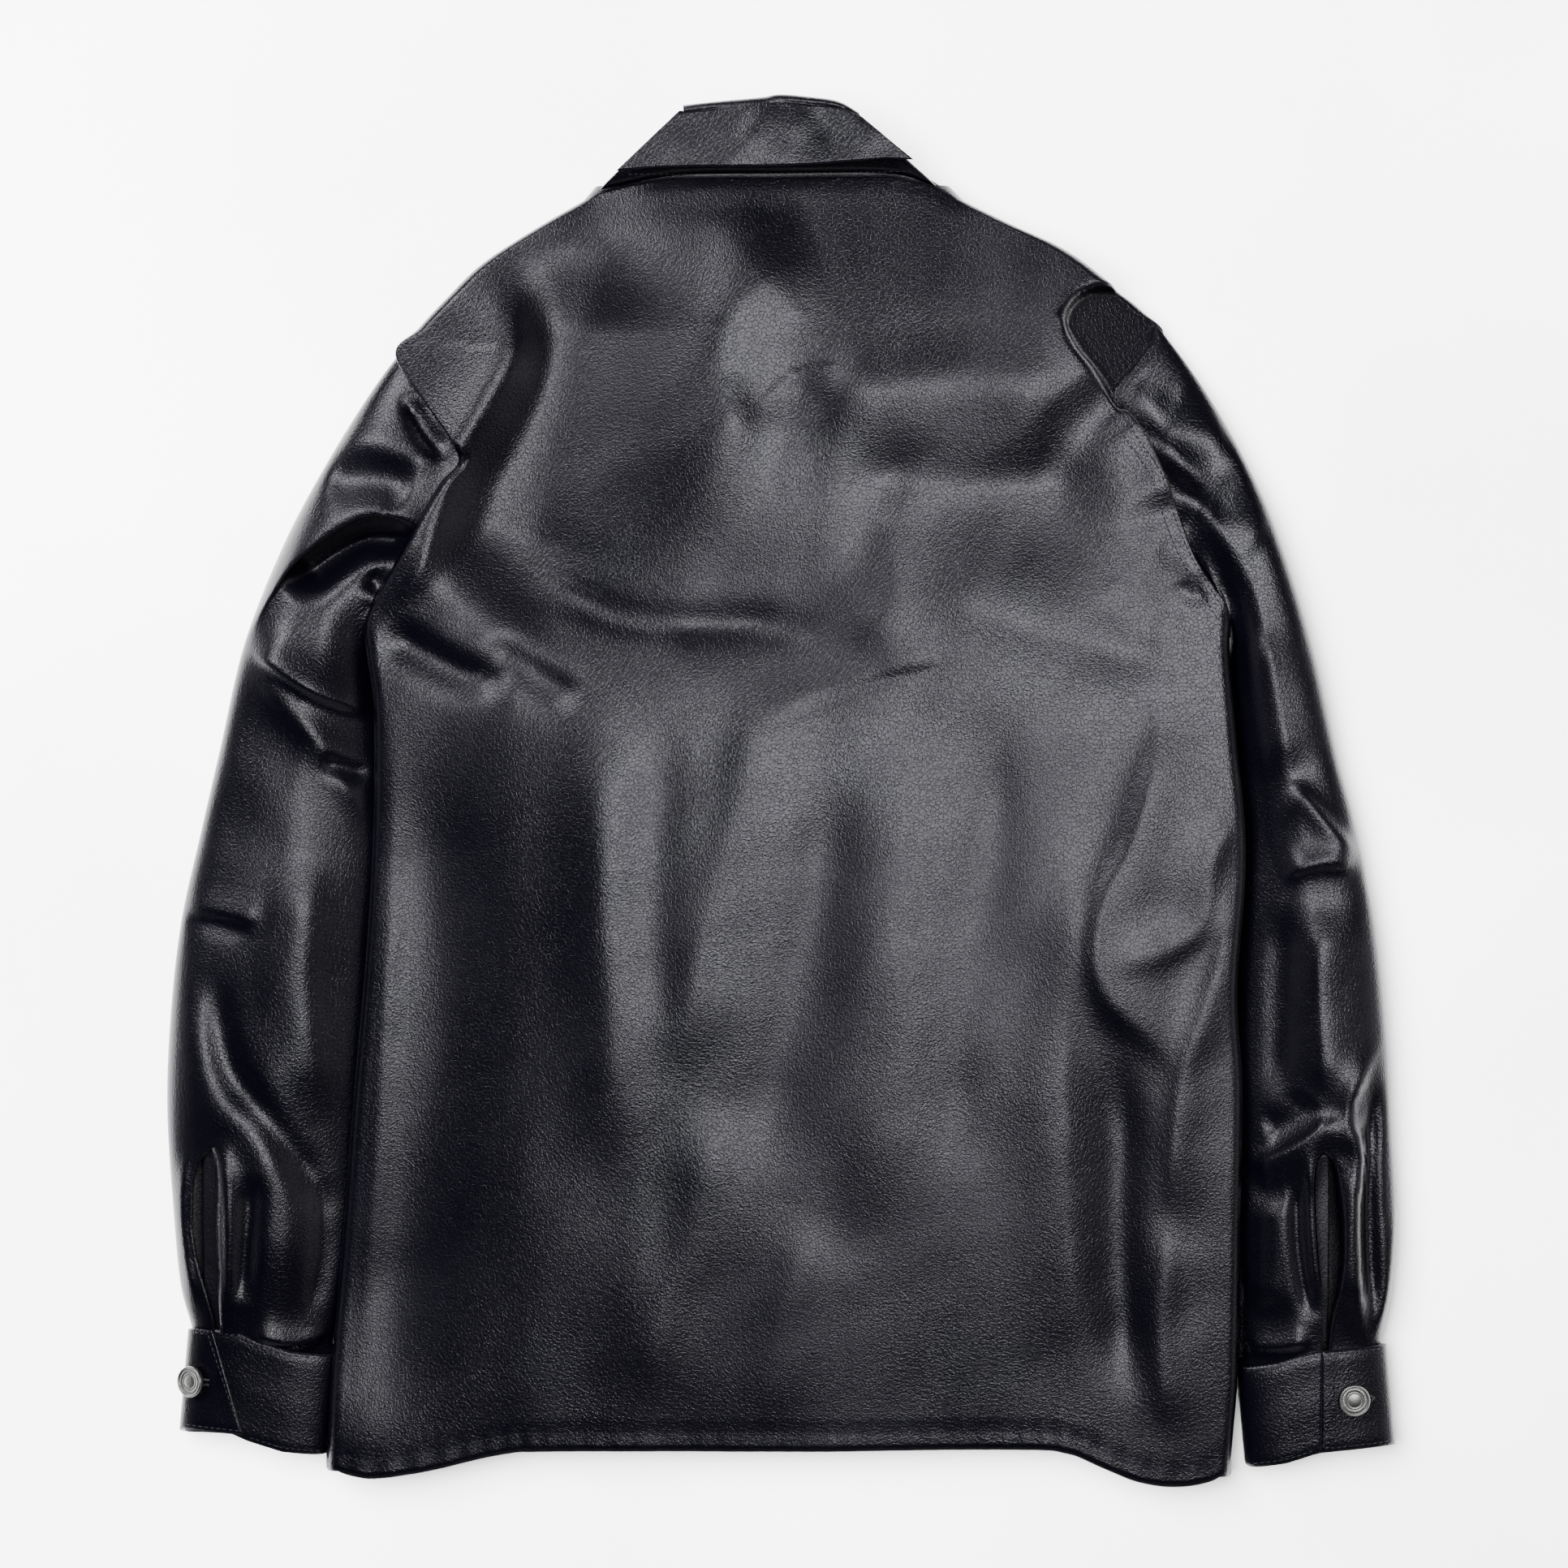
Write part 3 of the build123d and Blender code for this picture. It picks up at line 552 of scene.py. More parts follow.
# ---- sleeves
# Each sleeve's folds, written as the back's, and its stations from the shoulder to the wrist:
# outer and inner plan point, lowest and highest height.
LEFT_FOLDS = [
    (9, 18, 2.6, -5, -307, 84, -294, 110, -281, 130, -265, 145, -249, 155.5, -236, 161, -220, 160,
     -208, 153, -196, 142),
    (-17, 4.5, 13, 0, -284, 114, -264, 131, -247, 142, -232, 147, -216, 145, -200, 136),
    (-6, 10, 6, 0, -236, 128, -226, 112, -232, 96),
    (6.5, 18, 4, 0, -306, 87, -286, 72, -264, 58, -243, 50, -228, 44),
    (4, 12, 8, 0, -303, 80, -280, 50, -262, 30, -246, 4, -235, -24),
    (-4, 5, 6, 0, -262, 20, -236, 10),
    (-1.4, 3, 8, 0, -343, -70, -322, -72, -298, -80),
    (2, 12, 3, 0, -342, -64, -320, -66, -292, -72),
    (4, 14, 24, 0, -341, -80, -331, -140, -319, -172, -299, -188, -285, -216, -280, -250, -286, -282,
     -302, -304),
    (-4, 9, 9, 0, -322, -92, -314, -150, -290, -186, -270, -214, -252, -244),
    (4.5, 13, 18, 0, -264, -30, -270, -100, -262, -190),
    (4, 14, 9, 0, -262, 202, -228, 198, -190, 184),
    (-4.5, 8, 4, 0, -214, 226, -203, 204, -190, 190),
    (-4, 9, 12, 0, -262, 176, -236, 180, -206, 176),
    (-3, 8, 5, 0, -262, -214, -262, -260, -270, -300),
    (-4, 7, 5, 0, -300, -212, -303, -250, -308, -290),
    (4.5, 5, 3, 0, -316, -190, -313, -240, -313, -296),
    (3.5, 3, 5, 0, -336, -196, -340, -240, -332, -294),
    (3.5, 3, 8, 0, -254, -304, -276, -311, -304, -304),
]
LEFT_SLEEVE = {
    "name": "left", "sink": 0,
    "stations": [
        (-219, 249, -237, 100, 7.5, 25.6), (-250, 208, -238, 92, 4, 27.5),
        (-284, 142, -236, 66, 2, 28.5), (-306, 86, -233.5, 44, 1, 29), (-320, 26, -233.4, 2, 0.6, 29),
        (-331, -22, -234.5, -34, 0.6, 29.5), (-342, -72, -237.4, -80, 0.6, 30),
        (-348, -125, -240, -128, 0.6, 30), (-350, -178, -243.5, -180, 0.6, 30),
        (-346.5, -235, -248, -236, 0.6, 29.5), (-342.5, -278, -252, -280, 1, 28),
        (-336.5, -302, -255.5, -309, 2, 25.2), (-335.5, -315, -257.5, -321, 2, 24.4)],
    "armhole": pairs(-219, 249, -201, 220, -182, 192, -192, 172, -214, 136, -237, 100),
    "slit": [
        (-200, -322, -322), (-203, -326, -321), (-208, -330, -320.6), (-220, -333, -320),
        (-245, -334, -320), (-262, -331.5, -319.6), (-282, -326, -319), (-298, -322, -318.4),
        (-330, -321, -318)],
    "placket": (-328.5, -306, -201, -304),
    "folds": LEFT_FOLDS,
}
RIGHT_FOLDS = [
    (-2, 9, 9, 0, 200, 240, 226, 222),
    (3, 18, 12, 0, 204, 203, 228, 206, 256, 202),
    (-2, 12, 14, 0, 212, 186, 240, 182, 262, 176),
    (2, 12, 14, 0, 232, 156, 254, 152, 274, 142),
    (-4, 12, 10, 0, 224, 170, 236, 130, 252, 96),
    (3, 14, 18, 0, 268, 96, 276, 50, 288, 10),
    (4.5, 9, 4, 0, 327, -37, 308, -18, 286, 8),
    (4, 4, 9, 0, 327, -40, 303, -39, 280, -46),
    (5, 20, 7, 0, 303, -56, 303, -110, 306, -160, 311, -182),
    (-3.5, 9, 10, 0, 284, -60, 282, -120, 280, -180),
    (5.5, 14, 4, 0, 313, -176, 295, -195, 262, -214),
    (-3, 8, 8, 0, 270, -190, 286, -184, 298, -170),
    (4.5, 12, 14, 0, 272, -222, 277, -250, 270, -296),
    (-5, 6, 5, 0, 291, -213, 292, -255, 299, -300),
    (7, 3, 8, 0, 342, -134, 328, -156, 319, -180, 326, -204, 323, -240, 325, -288, 332, -316),
    (-6, 5, 4, 0, 335, -156, 331, -205, 331, -250, 335, -306),
    (3.5, 5, 4, 0, 347, -232, 344, -270, 340, -290, 334, -314),
    (4, 3, 5, 0, 298, -196, 297, -240, 302, -294),
    (3, 4, 3, 0, 315, -200, 318, -240, 314, -296),
    (3.5, 8, 3, 0, 260, -314, 280, -313, 300, -308),
]
RIGHT_SLEEVE = {
    "name": "right", "sink": 13,
    "stations": [
        (217, 262, 252, 103, 7.5, 25.6), (256, 208, 256, 92, 4, 27.5), (283, 142, 258, 66, 2, 28.5),
        (302, 80, 257, 44, 1, 27), (315, 22, 260.5, 2, 0.6, 27), (325, -16, 263, -30, 0.6, 28),
        (337, -76, 261, -80, 0.6, 29), (343, -135, 260, -136, 0.6, 29.5),
        (346, -190, 260.5, -190, 0.6, 29.5), (348.5, -240, 258.5, -242, 0.6, 29),
        (346, -280, 259.5, -284, 1, 28), (340.5, -308, 259, -316, 2, 25.2),
        (339, -323, 258.5, -330, 2, 24.4)],
    "armhole": pairs(217, 262, 203, 247, 187, 228, 199, 206, 214, 184, 221, 163, 232, 136, 252, 103),
    "slit": [
        (-202, 305, 305), (-205, 302, 308.5), (-210, 300.5, 311), (-222, 300, 312), (-240, 300.5, 314),
        (-262, 302, 314.6), (-282, 304.4, 312.4), (-300, 306, 309.6), (-340, 305, 308)],
    "placket": (288, 308.5, -203, -308),
    "folds": RIGHT_FOLDS,
}


def along_sleeve(sleeve, ring, *columns):
    """Columns of a sleeve's stations at a ring."""
    line = spline(sleeve["stations"], SLEEVE_POINTS)
    return [np.interp(ring, np.linspace(0, 1, SLEEVE_POINTS), line[:, i]) for i in columns]


def sleeve_surface(sleeve, ring, across, upper):
    """Points of a sleeve. ring counts along its stations from 0 to 1, across runs from its
    outer to its inner edge, and upper is 1 on the upper face and -1 on the lower face."""
    armhole = spline(sleeve["armhole"], 300)
    ox, oy, ix, iy, low, high = along_sleeve(sleeve, ring, *range(6))
    x, y = ox + (ix - ox) * across, oy + (iy - oy) * across
    share = np.linspace(0, 1, 300)
    hole_x, hole_y = np.interp(across, share, armhole[:, 0]), np.interp(across, share, armhole[:, 1])
    near = 1 - smooth(ring, 0.0, 0.17)
    x, y = x * (1 - near) + hole_x * near, y * (1 - near) + hole_y * near
    profile = (1 - np.abs(2 * across - 1) ** 3.6) ** (1 / 2.6)
    high = high - sleeve["sink"] * (1 - smooth(ring, 0.02, 0.16)) * (1 - smooth(across, 0.3, 0.6))
    shift = folded(x, y, sleeve["folds"])
    weight = np.where(upper > 0, profile ** 1.3, 0)
    tucked = smooth(across, 0.84, 1.0) * smooth(ring, 0.1, 0.2) * (1 - smooth(ring, 0.86, 0.95))
    high = high - 9 * smooth(across, 0.5, 0.98) * smooth(ring, 0.06, 0.16)
    middle = low + (high - low) * (0.42 - 0.24 * tucked)
    z = np.where(upper > 0, middle + (high - middle) * profile, middle - (middle - low) * profile)
    z += weight * (shift[..., 2] + 0.35 * ripple(x, y, 12, 40, 1.4))
    z += np.where(upper < 0, profile, 0) * 0.5 * (1 + ripple(x, y, 14, 60))
    inwards = 1 if sleeve["name"] == "left" else -1
    x = x + weight * shift[..., 0] + inwards * 7 * tucked * (1 - profile)
    y = y + weight * shift[..., 1]
    return np.stack([x, y, np.maximum(z, LOWEST)], -1)


def across_at(sleeve, ring, x):
    """How far across a sleeve plan x lies, at a ring near the wrist."""
    ox, ix = along_sleeve(sleeve, ring, 0, 2)
    return (x - ox) / (ix - ox)


def ring_at(sleeve, y):
    """Ring of a sleeve whose outer part lies at height y."""
    line = spline(sleeve["stations"], SLEEVE_POINTS)
    outer_y = line[:, 1] * 0.75 + line[:, 3] * 0.25
    return np.interp(-y, -outer_y, np.linspace(0, 1, SLEEVE_POINTS))


def sleeve_piece(sleeve):
    """Sleeve with its slit, from under the back's armhole edge into the cuff."""
    name = sleeve["name"]
    rings = np.linspace(0, 1, 290)
    slit = np.array(sleeve["slit"], float)
    ring_y = ring_at(sleeve, slit[:, 0])
    lips = np.sort([across_at(sleeve, rings, np.interp(rings, ring_y, slit[:, i])) for i in (1, 2)], 0)
    lips[:, rings < ring_y[0]] = across_at(sleeve, ring_y[0], slit[0, 1])
    quarter = np.sin(np.linspace(0, pi / 2, 44))
    whole = (1 - np.cos(np.linspace(0, pi, 40))) / 2
    inner_top = lips[1][:, None] + (1 - lips[1][:, None]) * quarter
    under = np.repeat(whole[::-1][None, 1:-1], len(rings), 0)
    outer_top = lips[0][:, None] * (1 - np.cos(np.linspace(0, pi / 2, 18)))
    across = np.concatenate([inner_top, under, outer_top], 1)
    upper = np.concatenate([np.ones(inner_top.shape), -np.ones(under.shape), np.ones(outer_top.shape)], 1)
    grid = sleeve_surface(sleeve, rings[:, None], across, upper)
    inwards = grid[0] - grid[4]
    inwards[:, 2] = 0
    inwards /= np.linalg.norm(inwards, axis=1)[:, None]
    grid = np.concatenate([[grid[0] + 7 * inwards], grid])
    panel(f"{name}_sleeve_body", grid, BODY_SKIN, "body_leather", f"{name}_sleeve",
          f"{name}_sleeve", flip=name == "left")


def placket_piece(sleeve):
    """Facing inside the slit, puckered along its stitching."""
    name = sleeve["name"]
    x1, x2, y1, y2 = sleeve["placket"]
    rings = np.linspace(ring_at(sleeve, y1), ring_at(sleeve, y2), 60)
    ring, u = np.meshgrid(rings, np.linspace(0, 1, 16), indexing="ij")
    across = across_at(sleeve, ring, x1 + (x2 - x1) * u)
    grid = sleeve_surface(sleeve, ring, across, np.ones(ring.shape))
    grid[..., 2] -= 3.4 - 0.22 * np.sin(grid[..., 1] * 1.7) * np.exp(-((u - 0.25) / 0.2) ** 2)
    return panel(f"{name}_placket", grid, BAND_SKIN, "leather_inside", f"{name}_sleeve",
                 f"{name}_sleeve_placket", flip=True)


def sleeve_head(side):
    """Top of the sleeve, which reaches under the back and the front about the shoulder point."""
    name, pivot, reach = ("left", (-206, 247), 144) if side < 0 else ("right", (204, 260), 159)
    if side < 0:
        spread = [(257, reach), (297, reach), (303, 110), (318, 79), (331, 59), (335, 24)]
    else:
        spread = [(288, reach), (252, reach), (247.5, 126), (244.5, 96), (241, 76), (229, 53), (205, 36),
                  (200, 20)]
    spread = np.array(spread, float)
    turn = np.linspace(0, 1, 60)
    share = np.linspace(0, 1, len(spread))
    angle = np.radians(np.interp(turn, share, spread[:, 0]))
    radius = np.interp(turn, share, spread[:, 1])
    rows = []
    for out, z in ([(s, 9.4) for s in np.linspace(0.12, 0.95, 12)] + [(0.985, 9.3), (1, 9.1)]
                         + [(1, 7.8), (0.985, 7.6)] + [(s, 7.5) for s in np.linspace(0.95, 0.12, 12)]):
        rows.append(joined(pivot[0] + out * radius * np.cos(angle),
                           pivot[1] + out * radius * np.sin(angle), z))
    panel(f"{name}_sleeve_head", rows, BODY_SKIN, "body_leather", f"{name}_sleeve",
          flip=side < 0)


# ---- cuffs
# Each cuff: centre of its upper edge, turn, tab edge, button, and the skew of its upper face.
LEFT_CUFF = {"name": "left", "centre": (-294.8, -310.2), "turn": -5.0, "mirror": 1, "width": 84.5,
             "edge": (-28.4, -5.4), "tab_shift": 4.5, "button": (-29.25, -25.0),
             "skew": [(-40, 5), (-16, 5.5), (-3, 1), (17, -3.5), (40, -4.2)]}
RIGHT_CUFF = {"name": "right", "centre": (299.3, -317), "turn": 5.0, "mirror": -1, "width": 84.8,
              "edge": (-5.0, 1.0), "tab_shift": 1.8, "button": (-20.8, -27.0),
              "skew": [(-43, 1.5), (-5, 2), (3, 1), (20, -3), (41, -4.7)]}
CUFF_DEPTH, CUFF_HEIGHT, CUFF_POWER = 57.0, 26.0, 0.78  # the power flattens the ring


def cuff_world(cuff, across, down, z):
    """Points of a cuff from its own frame: across the wrist, down from its upper edge, height."""
    turn = radians(cuff["turn"])
    x, y = cuff["mirror"] * across, -down
    return np.stack([cuff["centre"][0] + x * cos(turn) - y * sin(turn),
                     cuff["centre"][1] + x * sin(turn) + y * cos(turn), z], -1)


def cuff_ring(cuff, angle, down, grow, shift):
    """Flattened ring round the wrist, larger than the band by grow. shift skews its upper face."""
    c, s = np.cos(angle), np.sin(angle)
    half = cuff["width"] / 2 + grow
    across = half * np.sign(c) * np.abs(c) ** CUFF_POWER
    rise = np.sign(s) * np.abs(s) ** CUFF_POWER
    z = CUFF_HEIGHT / 2 + (CUFF_HEIGHT / 2 + grow) * rise
    upper = smooth(rise, -0.6, 0.8)
    wave = 0.35 * ripple(across + down * 0.3, down, 41, 34) * upper
    edges = 0.5 * np.exp(-((down - 1) / 2.5) ** 2) + 0.5 * np.exp(-((CUFF_DEPTH - 1 - down) / 2.5) ** 2)
    return cuff_world(cuff, across, down - shift(across) * upper,
                      np.maximum(z + wave - edges * rise, LOWEST))


def skewed(cuff):
    """How far each part of the band's upper face lies above the straight ring."""
    return lambda across: np.interp(across, *np.array(cuff["skew"], float).T)


def cuff_band(cuff):
    """Outer ply of the cuff."""
    name = cuff["name"]
    angle, down = np.meshgrid(np.linspace(0, 2 * pi, 121)[:-1], np.linspace(0, CUFF_DEPTH, 30))
    grid = cuff_ring(cuff, angle, down, -0.2, skewed(cuff))
    return panel(f"{name}_cuff_band", grid, FRONT_SKIN, "body_leather",
                 f"{name}_sleeve", f"{name}_cuff", wrap=True, flip=cuff["mirror"] < 0)


def cuff_tab(cuff):
    """Lapping end of the cuff, with a slanted free edge."""
    name = cuff["name"]
    down = np.linspace(0, CUFF_DEPTH, 30)[:, None]
    free = cuff["edge"][0] + (cuff["edge"][1] - cuff["edge"][0]) * down / CUFF_DEPTH
    half = cuff["width"] / 2 + 1.5
    end = pi - np.arccos(np.clip(np.abs(free) / half, 0, 1) ** (1 / CUFF_POWER))
    end = np.where(free > 0, pi - end, end)
    start, u = pi + 0.62, np.linspace(0, 1, 60)[None]
    angle = start + (end - start) * u
    grid = cuff_ring(cuff, angle, down + 0 * u, 1.5, lambda a: cuff["tab_shift"] + 0 * a)
    grid[..., 2] += 0.5 * smooth(u, 0.9, 1)
    return panel(f"{name}_cuff_tab", grid, TAB_SKIN, "body_leather",
                 f"{name}_sleeve", flip=cuff["mirror"] > 0)


def cuff_lining(cuff):
    """Inner ply of the cuff."""
    name = cuff["name"]
    angle, down = np.meshgrid(np.linspace(0, 2 * pi, 91)[:-1], np.linspace(1.5, CUFF_DEPTH - 1.5, 14))
    grid = cuff_ring(cuff, angle, down, -2.2, skewed(cuff))
    panel(f"{name}_cuff_lining", grid, LINING_SKIN, "leather_inside",
          f"{name}_sleeve", f"{name}_cuff_facing", wrap=True, flip=cuff["mirror"] < 0)


# ---- buttons
def button(node, body, place, axis):
    """Rimmed metal cap with a knurled ring and a plain domed middle."""
    profile = pairs(2.3, 0, 3.4, 0.1, 3.4, 1.7, 4.2, 1.85, 7.9, 1.95, 8.5, 2.3, 8.75, 3.0, 8.75, 4.2,
                    8.6, 4.7, 8.2, 4.98, 7.8, 5.0, 7.45, 4.85, 7.25, 4.5, 7.1, 4.42, 6.9, 4.5, 6.5, 4.56,
                    6.1, 4.58, 5.7, 4.56, 5.4, 4.48, 5.2, 4.36, 5.0, 4.36, 4.8, 4.5, 4.5, 4.56, 4.2, 4.5,
                    4.0, 4.4, 3.8, 4.42, 3.0, 4.6, 2.0, 4.74, 1.0, 4.82, 0.0, 4.85)
    angle = np.linspace(0, 2 * pi, 145)[:-1]
    rows = []
    for radius, height in profile:
        ring = smooth(radius, 5.3, 5.7) * (1 - smooth(radius, 6.9, 7.2))
        knurl = 0.13 * np.maximum(np.sin(36 * angle), -0.3) * ring * (height > 4)
        rows.append(joined(radius * np.cos(angle), radius * np.sin(angle), height + knurl))
    turn = Vector((0, 0, 1)).rotation_difference(axis.normalized()).to_matrix().to_4x4()
    panel(f"{node}_metal", rows, METAL_SKIN, "button_metal", body, node, wrap=True,
          move=Matrix.Translation(place) @ turn)


def buttons():
    """The caps turn on their joints, which give each cap's place and direction."""
    for joint in frame["joints"]:
        if not joint.get("continuous"):
            continue
        body = joint["child"]
        node = body.replace("button", "button_cap")
        sunk = 1.9 if "cuff" in body else 2.3
        axis = Vector(joint["axis"])
        button(node, body, Vector(joint["pos_m"]) - axis * sunk * MM, axis)


# ---- stitching
def drop(host, plan, above):
    """Points in millimetres where plan points meet a piece, seen from above or below."""
    mesh = host.data
    tree = BVHTree.FromPolygons([v.co.copy() for v in mesh.vertices],
                                [tuple(p.vertices) for p in mesh.polygons])
    out = []
    start, direction = (0.2, Vector((0, 0, -1))) if above else (-0.1, Vector((0, 0, 1)))
    for x, y in plan:
        hit = tree.ray_cast(Vector((x * MM, y * MM, start)), direction)[0]
        out.append((x, y, np.nan if hit is None else hit.z / MM))
    return np.array(out)


PITCH, GAP, THREAD_SIZE = 3.4, 0.8, 0.34  # from stitch to stitch, the gap between two, radius
# Rings of one stitch: where each lies along it, its share of the radius, and its lift.
STITCH = [(0, 0.15, -0.30), (0.12, 0.85, 0.02), (0.5, 1, 0.16), (0.88, 0.85, 0.02), (1, 0.15, -0.30)]


def thread(name, body, host, paths, above=True):
    """Rows of stitches that follow plan paths on the surface of the host piece."""
    up = 1 if above else -1
    sides = np.linspace(0, 2 * pi, 7)[:-1]
    points, faces = [], []
    for path in paths:
        path = np.array(path, float)
        length = np.linalg.norm(np.diff(path, axis=0), axis=1).sum()
        count = max(2, int(length / PITCH))
        marks = drop(host, resample(path, 2 * count + 1), above)
        for a, b in zip(marks[:-2:2], marks[2::2]):
            run = b - a
            if not np.isfinite(run).all() or abs(run[2]) > PITCH:
                continue
            size = np.linalg.norm(run)
            along = run / size
            across = np.cross(along, (0, 0, 1))
            across /= np.linalg.norm(across)
            top = np.cross(across, along)
            for t, r, lift in STITCH:
                centre = a + along * (GAP / 2 + t * (size - GAP)) + (0, 0, up * lift)
                points += [centre + THREAD_SIZE * r * (np.cos(s) * across + np.sin(s) * top)
                           for s in sides]
    quads = np.array(grid_faces(5, 6, wrap=True))
    for start in range(0, len(points), 30):
        faces += (quads + start).tolist()
        faces += [list(range(start + 5, start - 1, -1)), list(range(start + 24, start + 30))]
    attach(mesh_piece(name, points, faces, THREAD), body)


def offset_path(points, distance):
    """Plan curve beside a spline, distance to its left."""
    line = spline(points, 160)
    run = np.gradient(line, axis=0)
    run /= np.linalg.norm(run, axis=1)[:, None]
    return line + distance * np.column_stack([-run[:, 1], run[:, 0]])


def buttonhole(name, body, host, centre, turn, length, above):
    """Worked buttonhole: close stitches round a slot."""
    angle = np.linspace(0, 2 * pi, 61)[:-1]
    along = np.clip(np.cos(angle) * 1.6, -1, 1) * (length / 2 - 1.2)
    c, s = cos(radians(turn)), sin(radians(turn))
    rows = []
    level = drop(host, [centre], above)[0, 2]
    up = 1 if above else -1
    ribs = 1 + 0.10 * np.where(np.arange(60) % 2 == 0, 1, -1)
    for out, lift in ((0.5, -0.25), (0.7, 0.25), (1.2, 0.42), (1.9, 0.28), (2.2, -0.15)):
        px, py = along + np.cos(angle) ** 3 * 1.3 * out * ribs, np.sin(angle) * out * ribs
        rows.append(joined(centre[0] + px * c - py * s, centre[1] + px * s + py * c, level + up * lift))
    piece = mesh_piece(name, np.stack(rows), grid_faces(5, 60, wrap=True, flip=above), THREAD)
    attach(piece, body)


def cuff_threads(cuff, band, tab):
    """Stitching along the edges of a cuff and its tab, and the tab's buttonhole."""
    name, half, inset = cuff["name"], cuff["width"] / 2, 2.3
    body = f"{name}_sleeve"

    def path(points, shift):
        across, down = spline(points, 60).T
        return cuff_world(cuff, across, down - shift(across), 0 * across)[:, :2]

    top, bottom = inset, CUFF_DEPTH - inset
    start, end = cuff["edge"]
    skew = skewed(cuff)
    thread(f"{name}_cuff_band_stitches", body, band,
           [path([(start + 3, top), (half - 14, top), (half - 4, top)], skew),
            path([(end + 3, bottom), (half - 14, bottom), (half - 4, bottom)], skew)])
    flat = lambda across: cuff["tab_shift"] + 0 * across
    thread(f"{name}_cuff_tab_stitches", body, tab,
           [path([(-half + 3, top), (-half + 12, top), (start - inset, top)], flat),
            path([(start - inset, top), ((start + end) / 2 - inset, CUFF_DEPTH / 2),
                  (end - inset, bottom)], flat),
            path([(end - inset, bottom), (-half + 12, bottom), (-half + 3, bottom)], flat)])
    across, down = cuff["button"]
    place = cuff_world(cuff, across, -down, 0.0)
    buttonhole(f"{name}_cuff_buttonhole", body, tab, place[:2], cuff["turn"], 21, True)


# ---- floor, lights, camera
def floor():
    """Plain pale floor."""
    material = fine_surface("pale_floor", (0.86, 0.86, 0.87), 0.85, 0.0, 0.0, 2.0)
    size, low = 6000, -0.4
    corners = [(-size, -size, low), (size, -size, low), (size, size, low), (-size, size, low)]
    mesh_piece("floor", corners, [(0, 1, 2, 3)], material)


def softbox(name, place, width, height, power, aim=(0, 0, 0), glossy=True):
    """Rectangular soft light that faces a point."""
    light = bpy.data.lights.new(name, "AREA")
    light.shape = "RECTANGLE"
    light.size, light.size_y = width, height
    light.energy = power
    lamp = new_object(name, light)
    lamp.location = place
    lamp.rotation_euler = (Vector(aim) - Vector(place)).to_track_quat("-Z", "Y").to_euler()
    lamp.visible_glossy = glossy
    lamp.visible_camera = False


def studio():
    """Soft light from the upper left and from above, dim walls of light on all sides."""
    softbox("key", (-1.10, 1.35, 2.0), 1.0, 1.0, 48)
    softbox("overhead", (0.55, 0.18, 2.7), 1.3, 0.8, 48, aim=(0.55, 0.18, 0))
    softbox("side", (1.6, -0.2, 0.8), 0.5, 1.6, 2)
    for number, (x, y) in enumerate([(-3.2, 0), (0, 3.2), (3.2, 0), (0, -3.2)]):
        softbox(f"wall_{number + 1}", (x, y, 0.9), 4.0, 1.5, 11)
    softbox("floor_light", (-1.0, 0.55, 2.4), 2.2, 2.2, 840, glossy=False)
    world = bpy.data.worlds.new("surround")
    world.use_nodes = True
    glow = world.node_tree.nodes["Background"].inputs
    glow["Color"].default_value, glow["Strength"].default_value = (1, 1, 1, 1), 0.022
    bpy.context.scene.world = world


def camera():
    """Straight above the jacket, on a long lens that sees 889 mm of it."""
    data = bpy.data.cameras.new("camera")
    data.lens, data.sensor_width = 85, 36
    data.clip_end = 20
    eye = new_object("camera", data)
    view_width = 0.8887
    eye.location = (0.0005, 0.0058, view_width * data.lens / data.sensor_width + 0.02)
    bpy.context.scene.camera = eye


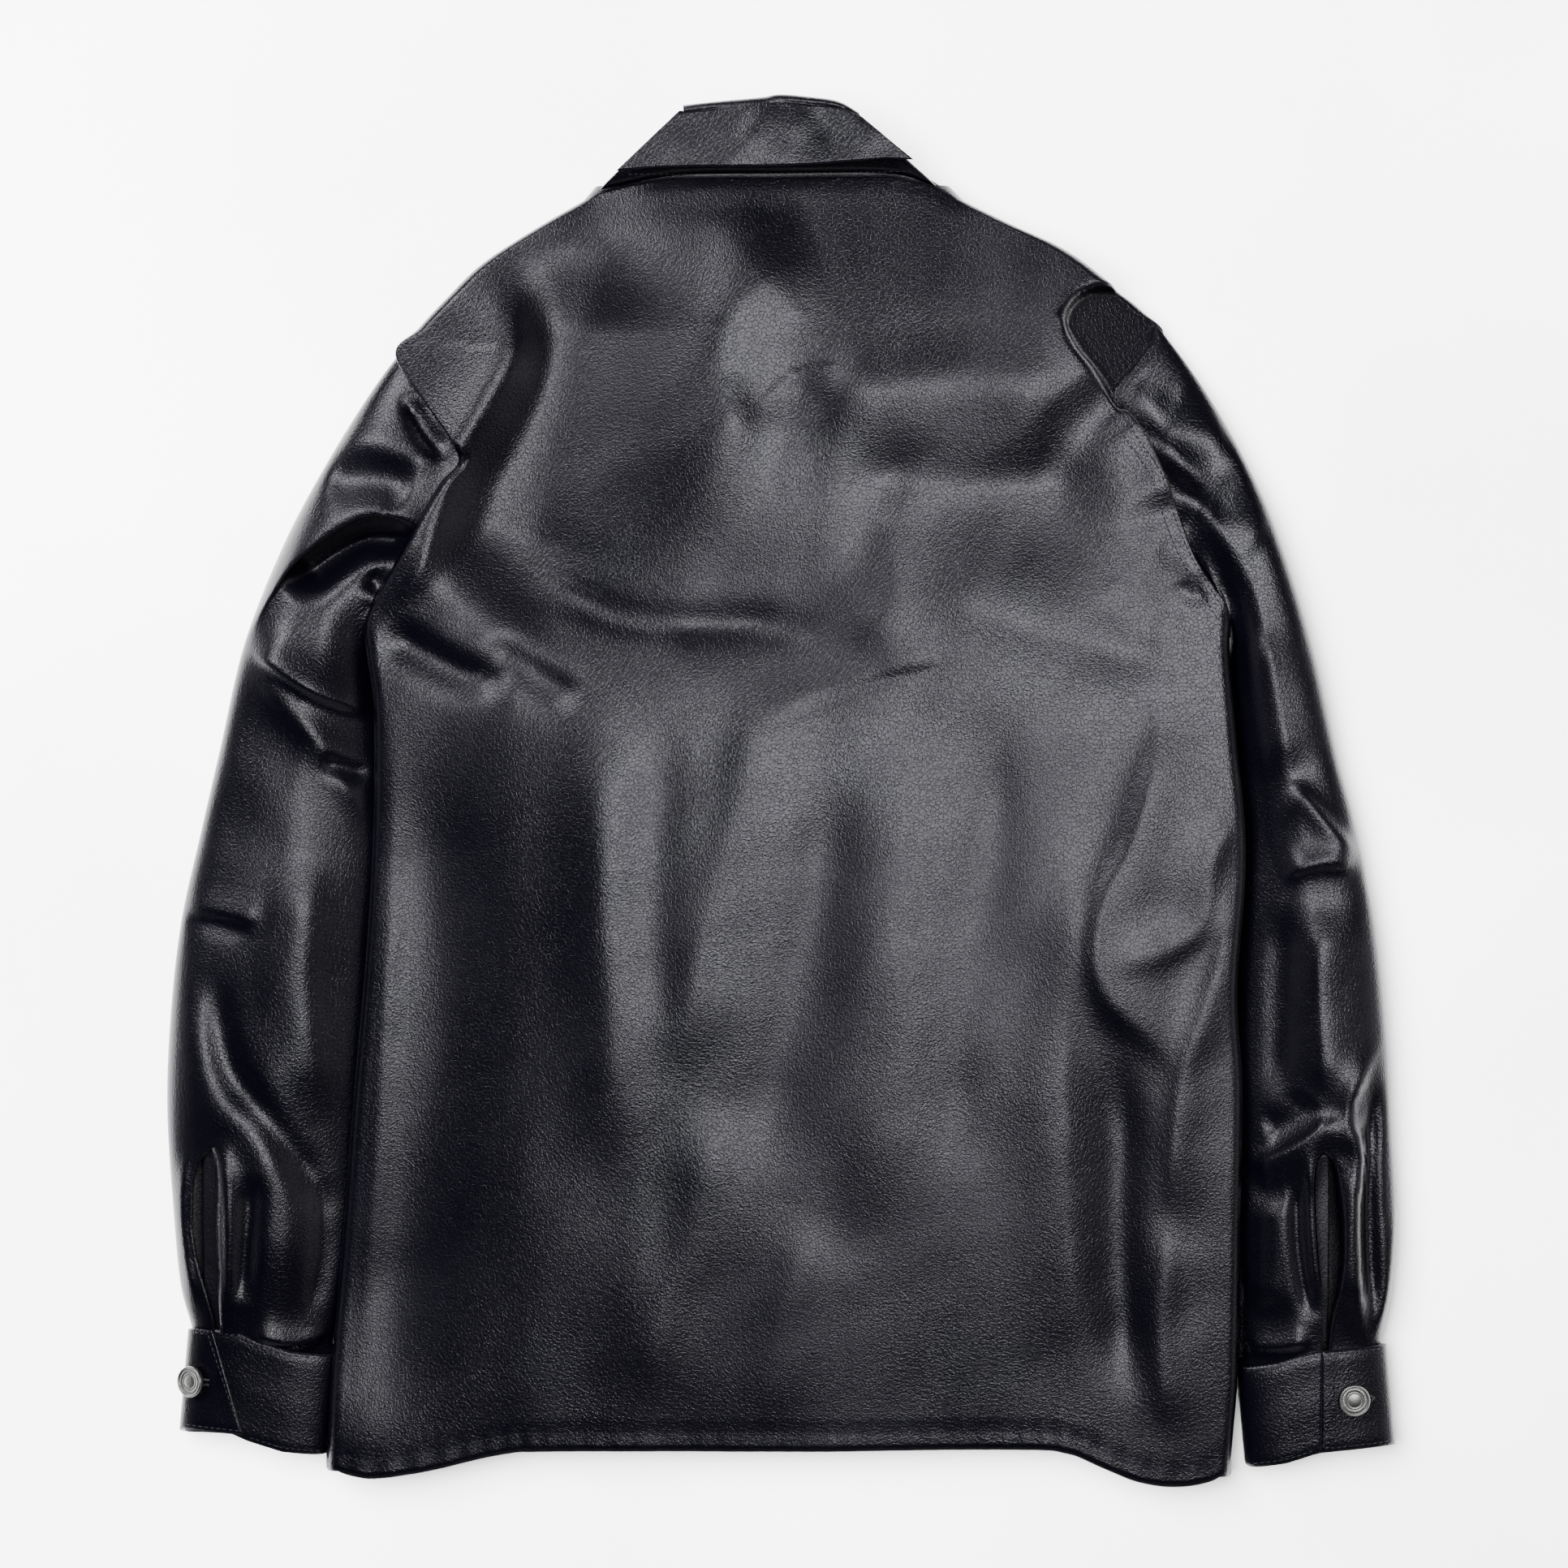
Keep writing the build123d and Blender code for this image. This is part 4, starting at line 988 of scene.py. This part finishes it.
def jacket():
    """All pieces of the jacket, then its stitching."""
    back = back_piece()
    neck_facing()
    fronts = {side: front_piece(side) for side in SIDES}
    for side in SIDES:
        front_band(side)
    collar = collar_piece()
    for side in SIDES:
        collar_leaf(side)
    for side, sleeve in zip(SIDES, (LEFT_SLEEVE, RIGHT_SLEEVE)):
        sleeve_piece(sleeve)
        placket = placket_piece(sleeve)
        x1, x2, y1, y2 = sleeve["placket"]
        seam_x = x1 + 0.62 * (x2 - x1)
        thread(f"{SIDES[side]}_placket_stitches", f"{SIDES[side]}_sleeve", placket,
               [[(seam_x, y1 - 4), (seam_x, y2 + 12)]])
        sleeve_head(side)
    for cuff in (LEFT_CUFF, RIGHT_CUFF):
        band, tab = cuff_band(cuff), cuff_tab(cuff)
        cuff_lining(cuff)
        cuff_threads(cuff, band, tab)
    buttons()
    for node in ("front_button_tacks", "left_cuff_tack", "right_cuff_tack"):
        for place in frame["nodes"][node].material_slots:
            place.material = METAL
    x = np.linspace(-249, 246, 400)
    thread("hem_stitches", "torso", back, [joined(x, hem_y(x) + HEM_BAND)])
    left, right = LEFT_SLEEVE["armhole"][:3], RIGHT_SLEEVE["armhole"]
    thread("left_armhole_stitches", "torso", back, [offset_path(left, d) for d in SEAM_ROWS])
    thread("right_armhole_stitches", "torso", back,
           [offset_path(part, -d) for part in (right[2:], right[:3]) for d in SEAM_ROWS])
    x = np.linspace(-88, 80, 60)
    thread("stand_stitches", "torso", collar, [joined(x, 351.3 + 0.012 * x)])
    for side, front in fronts.items():
        name, line = f"{SIDES[side]}_front", side * FOLD_LINE_X
        y = np.linspace(-366, 259, 50)
        rows = [joined(x, y) for x in (-side * (OVERLAP - 3), side * (BAND - OVERLAP - 3))]
        thread(f"{name}_stitches", name, front, rows, above=False)
        x = np.linspace(side * 244, -side * 14, 300)
        bodies = "torso", name, (MM * (line + side * BEND), 0, 0), (MM * (line - side * BEND), 0, 0)
        thread(f"{name}_hem_stitches", bodies, front,
               [joined(x, hem_y(x) + HEM_BAND)], above=False)
    for number in range(6):
        centre = 0, BUTTON_TOP - BUTTON_PITCH * number
        buttonhole(f"front_buttonhole_{number + 1}", "left_front", fronts[-1], centre, 90, 20, False)


camera()
studio()
floor()
jacket()
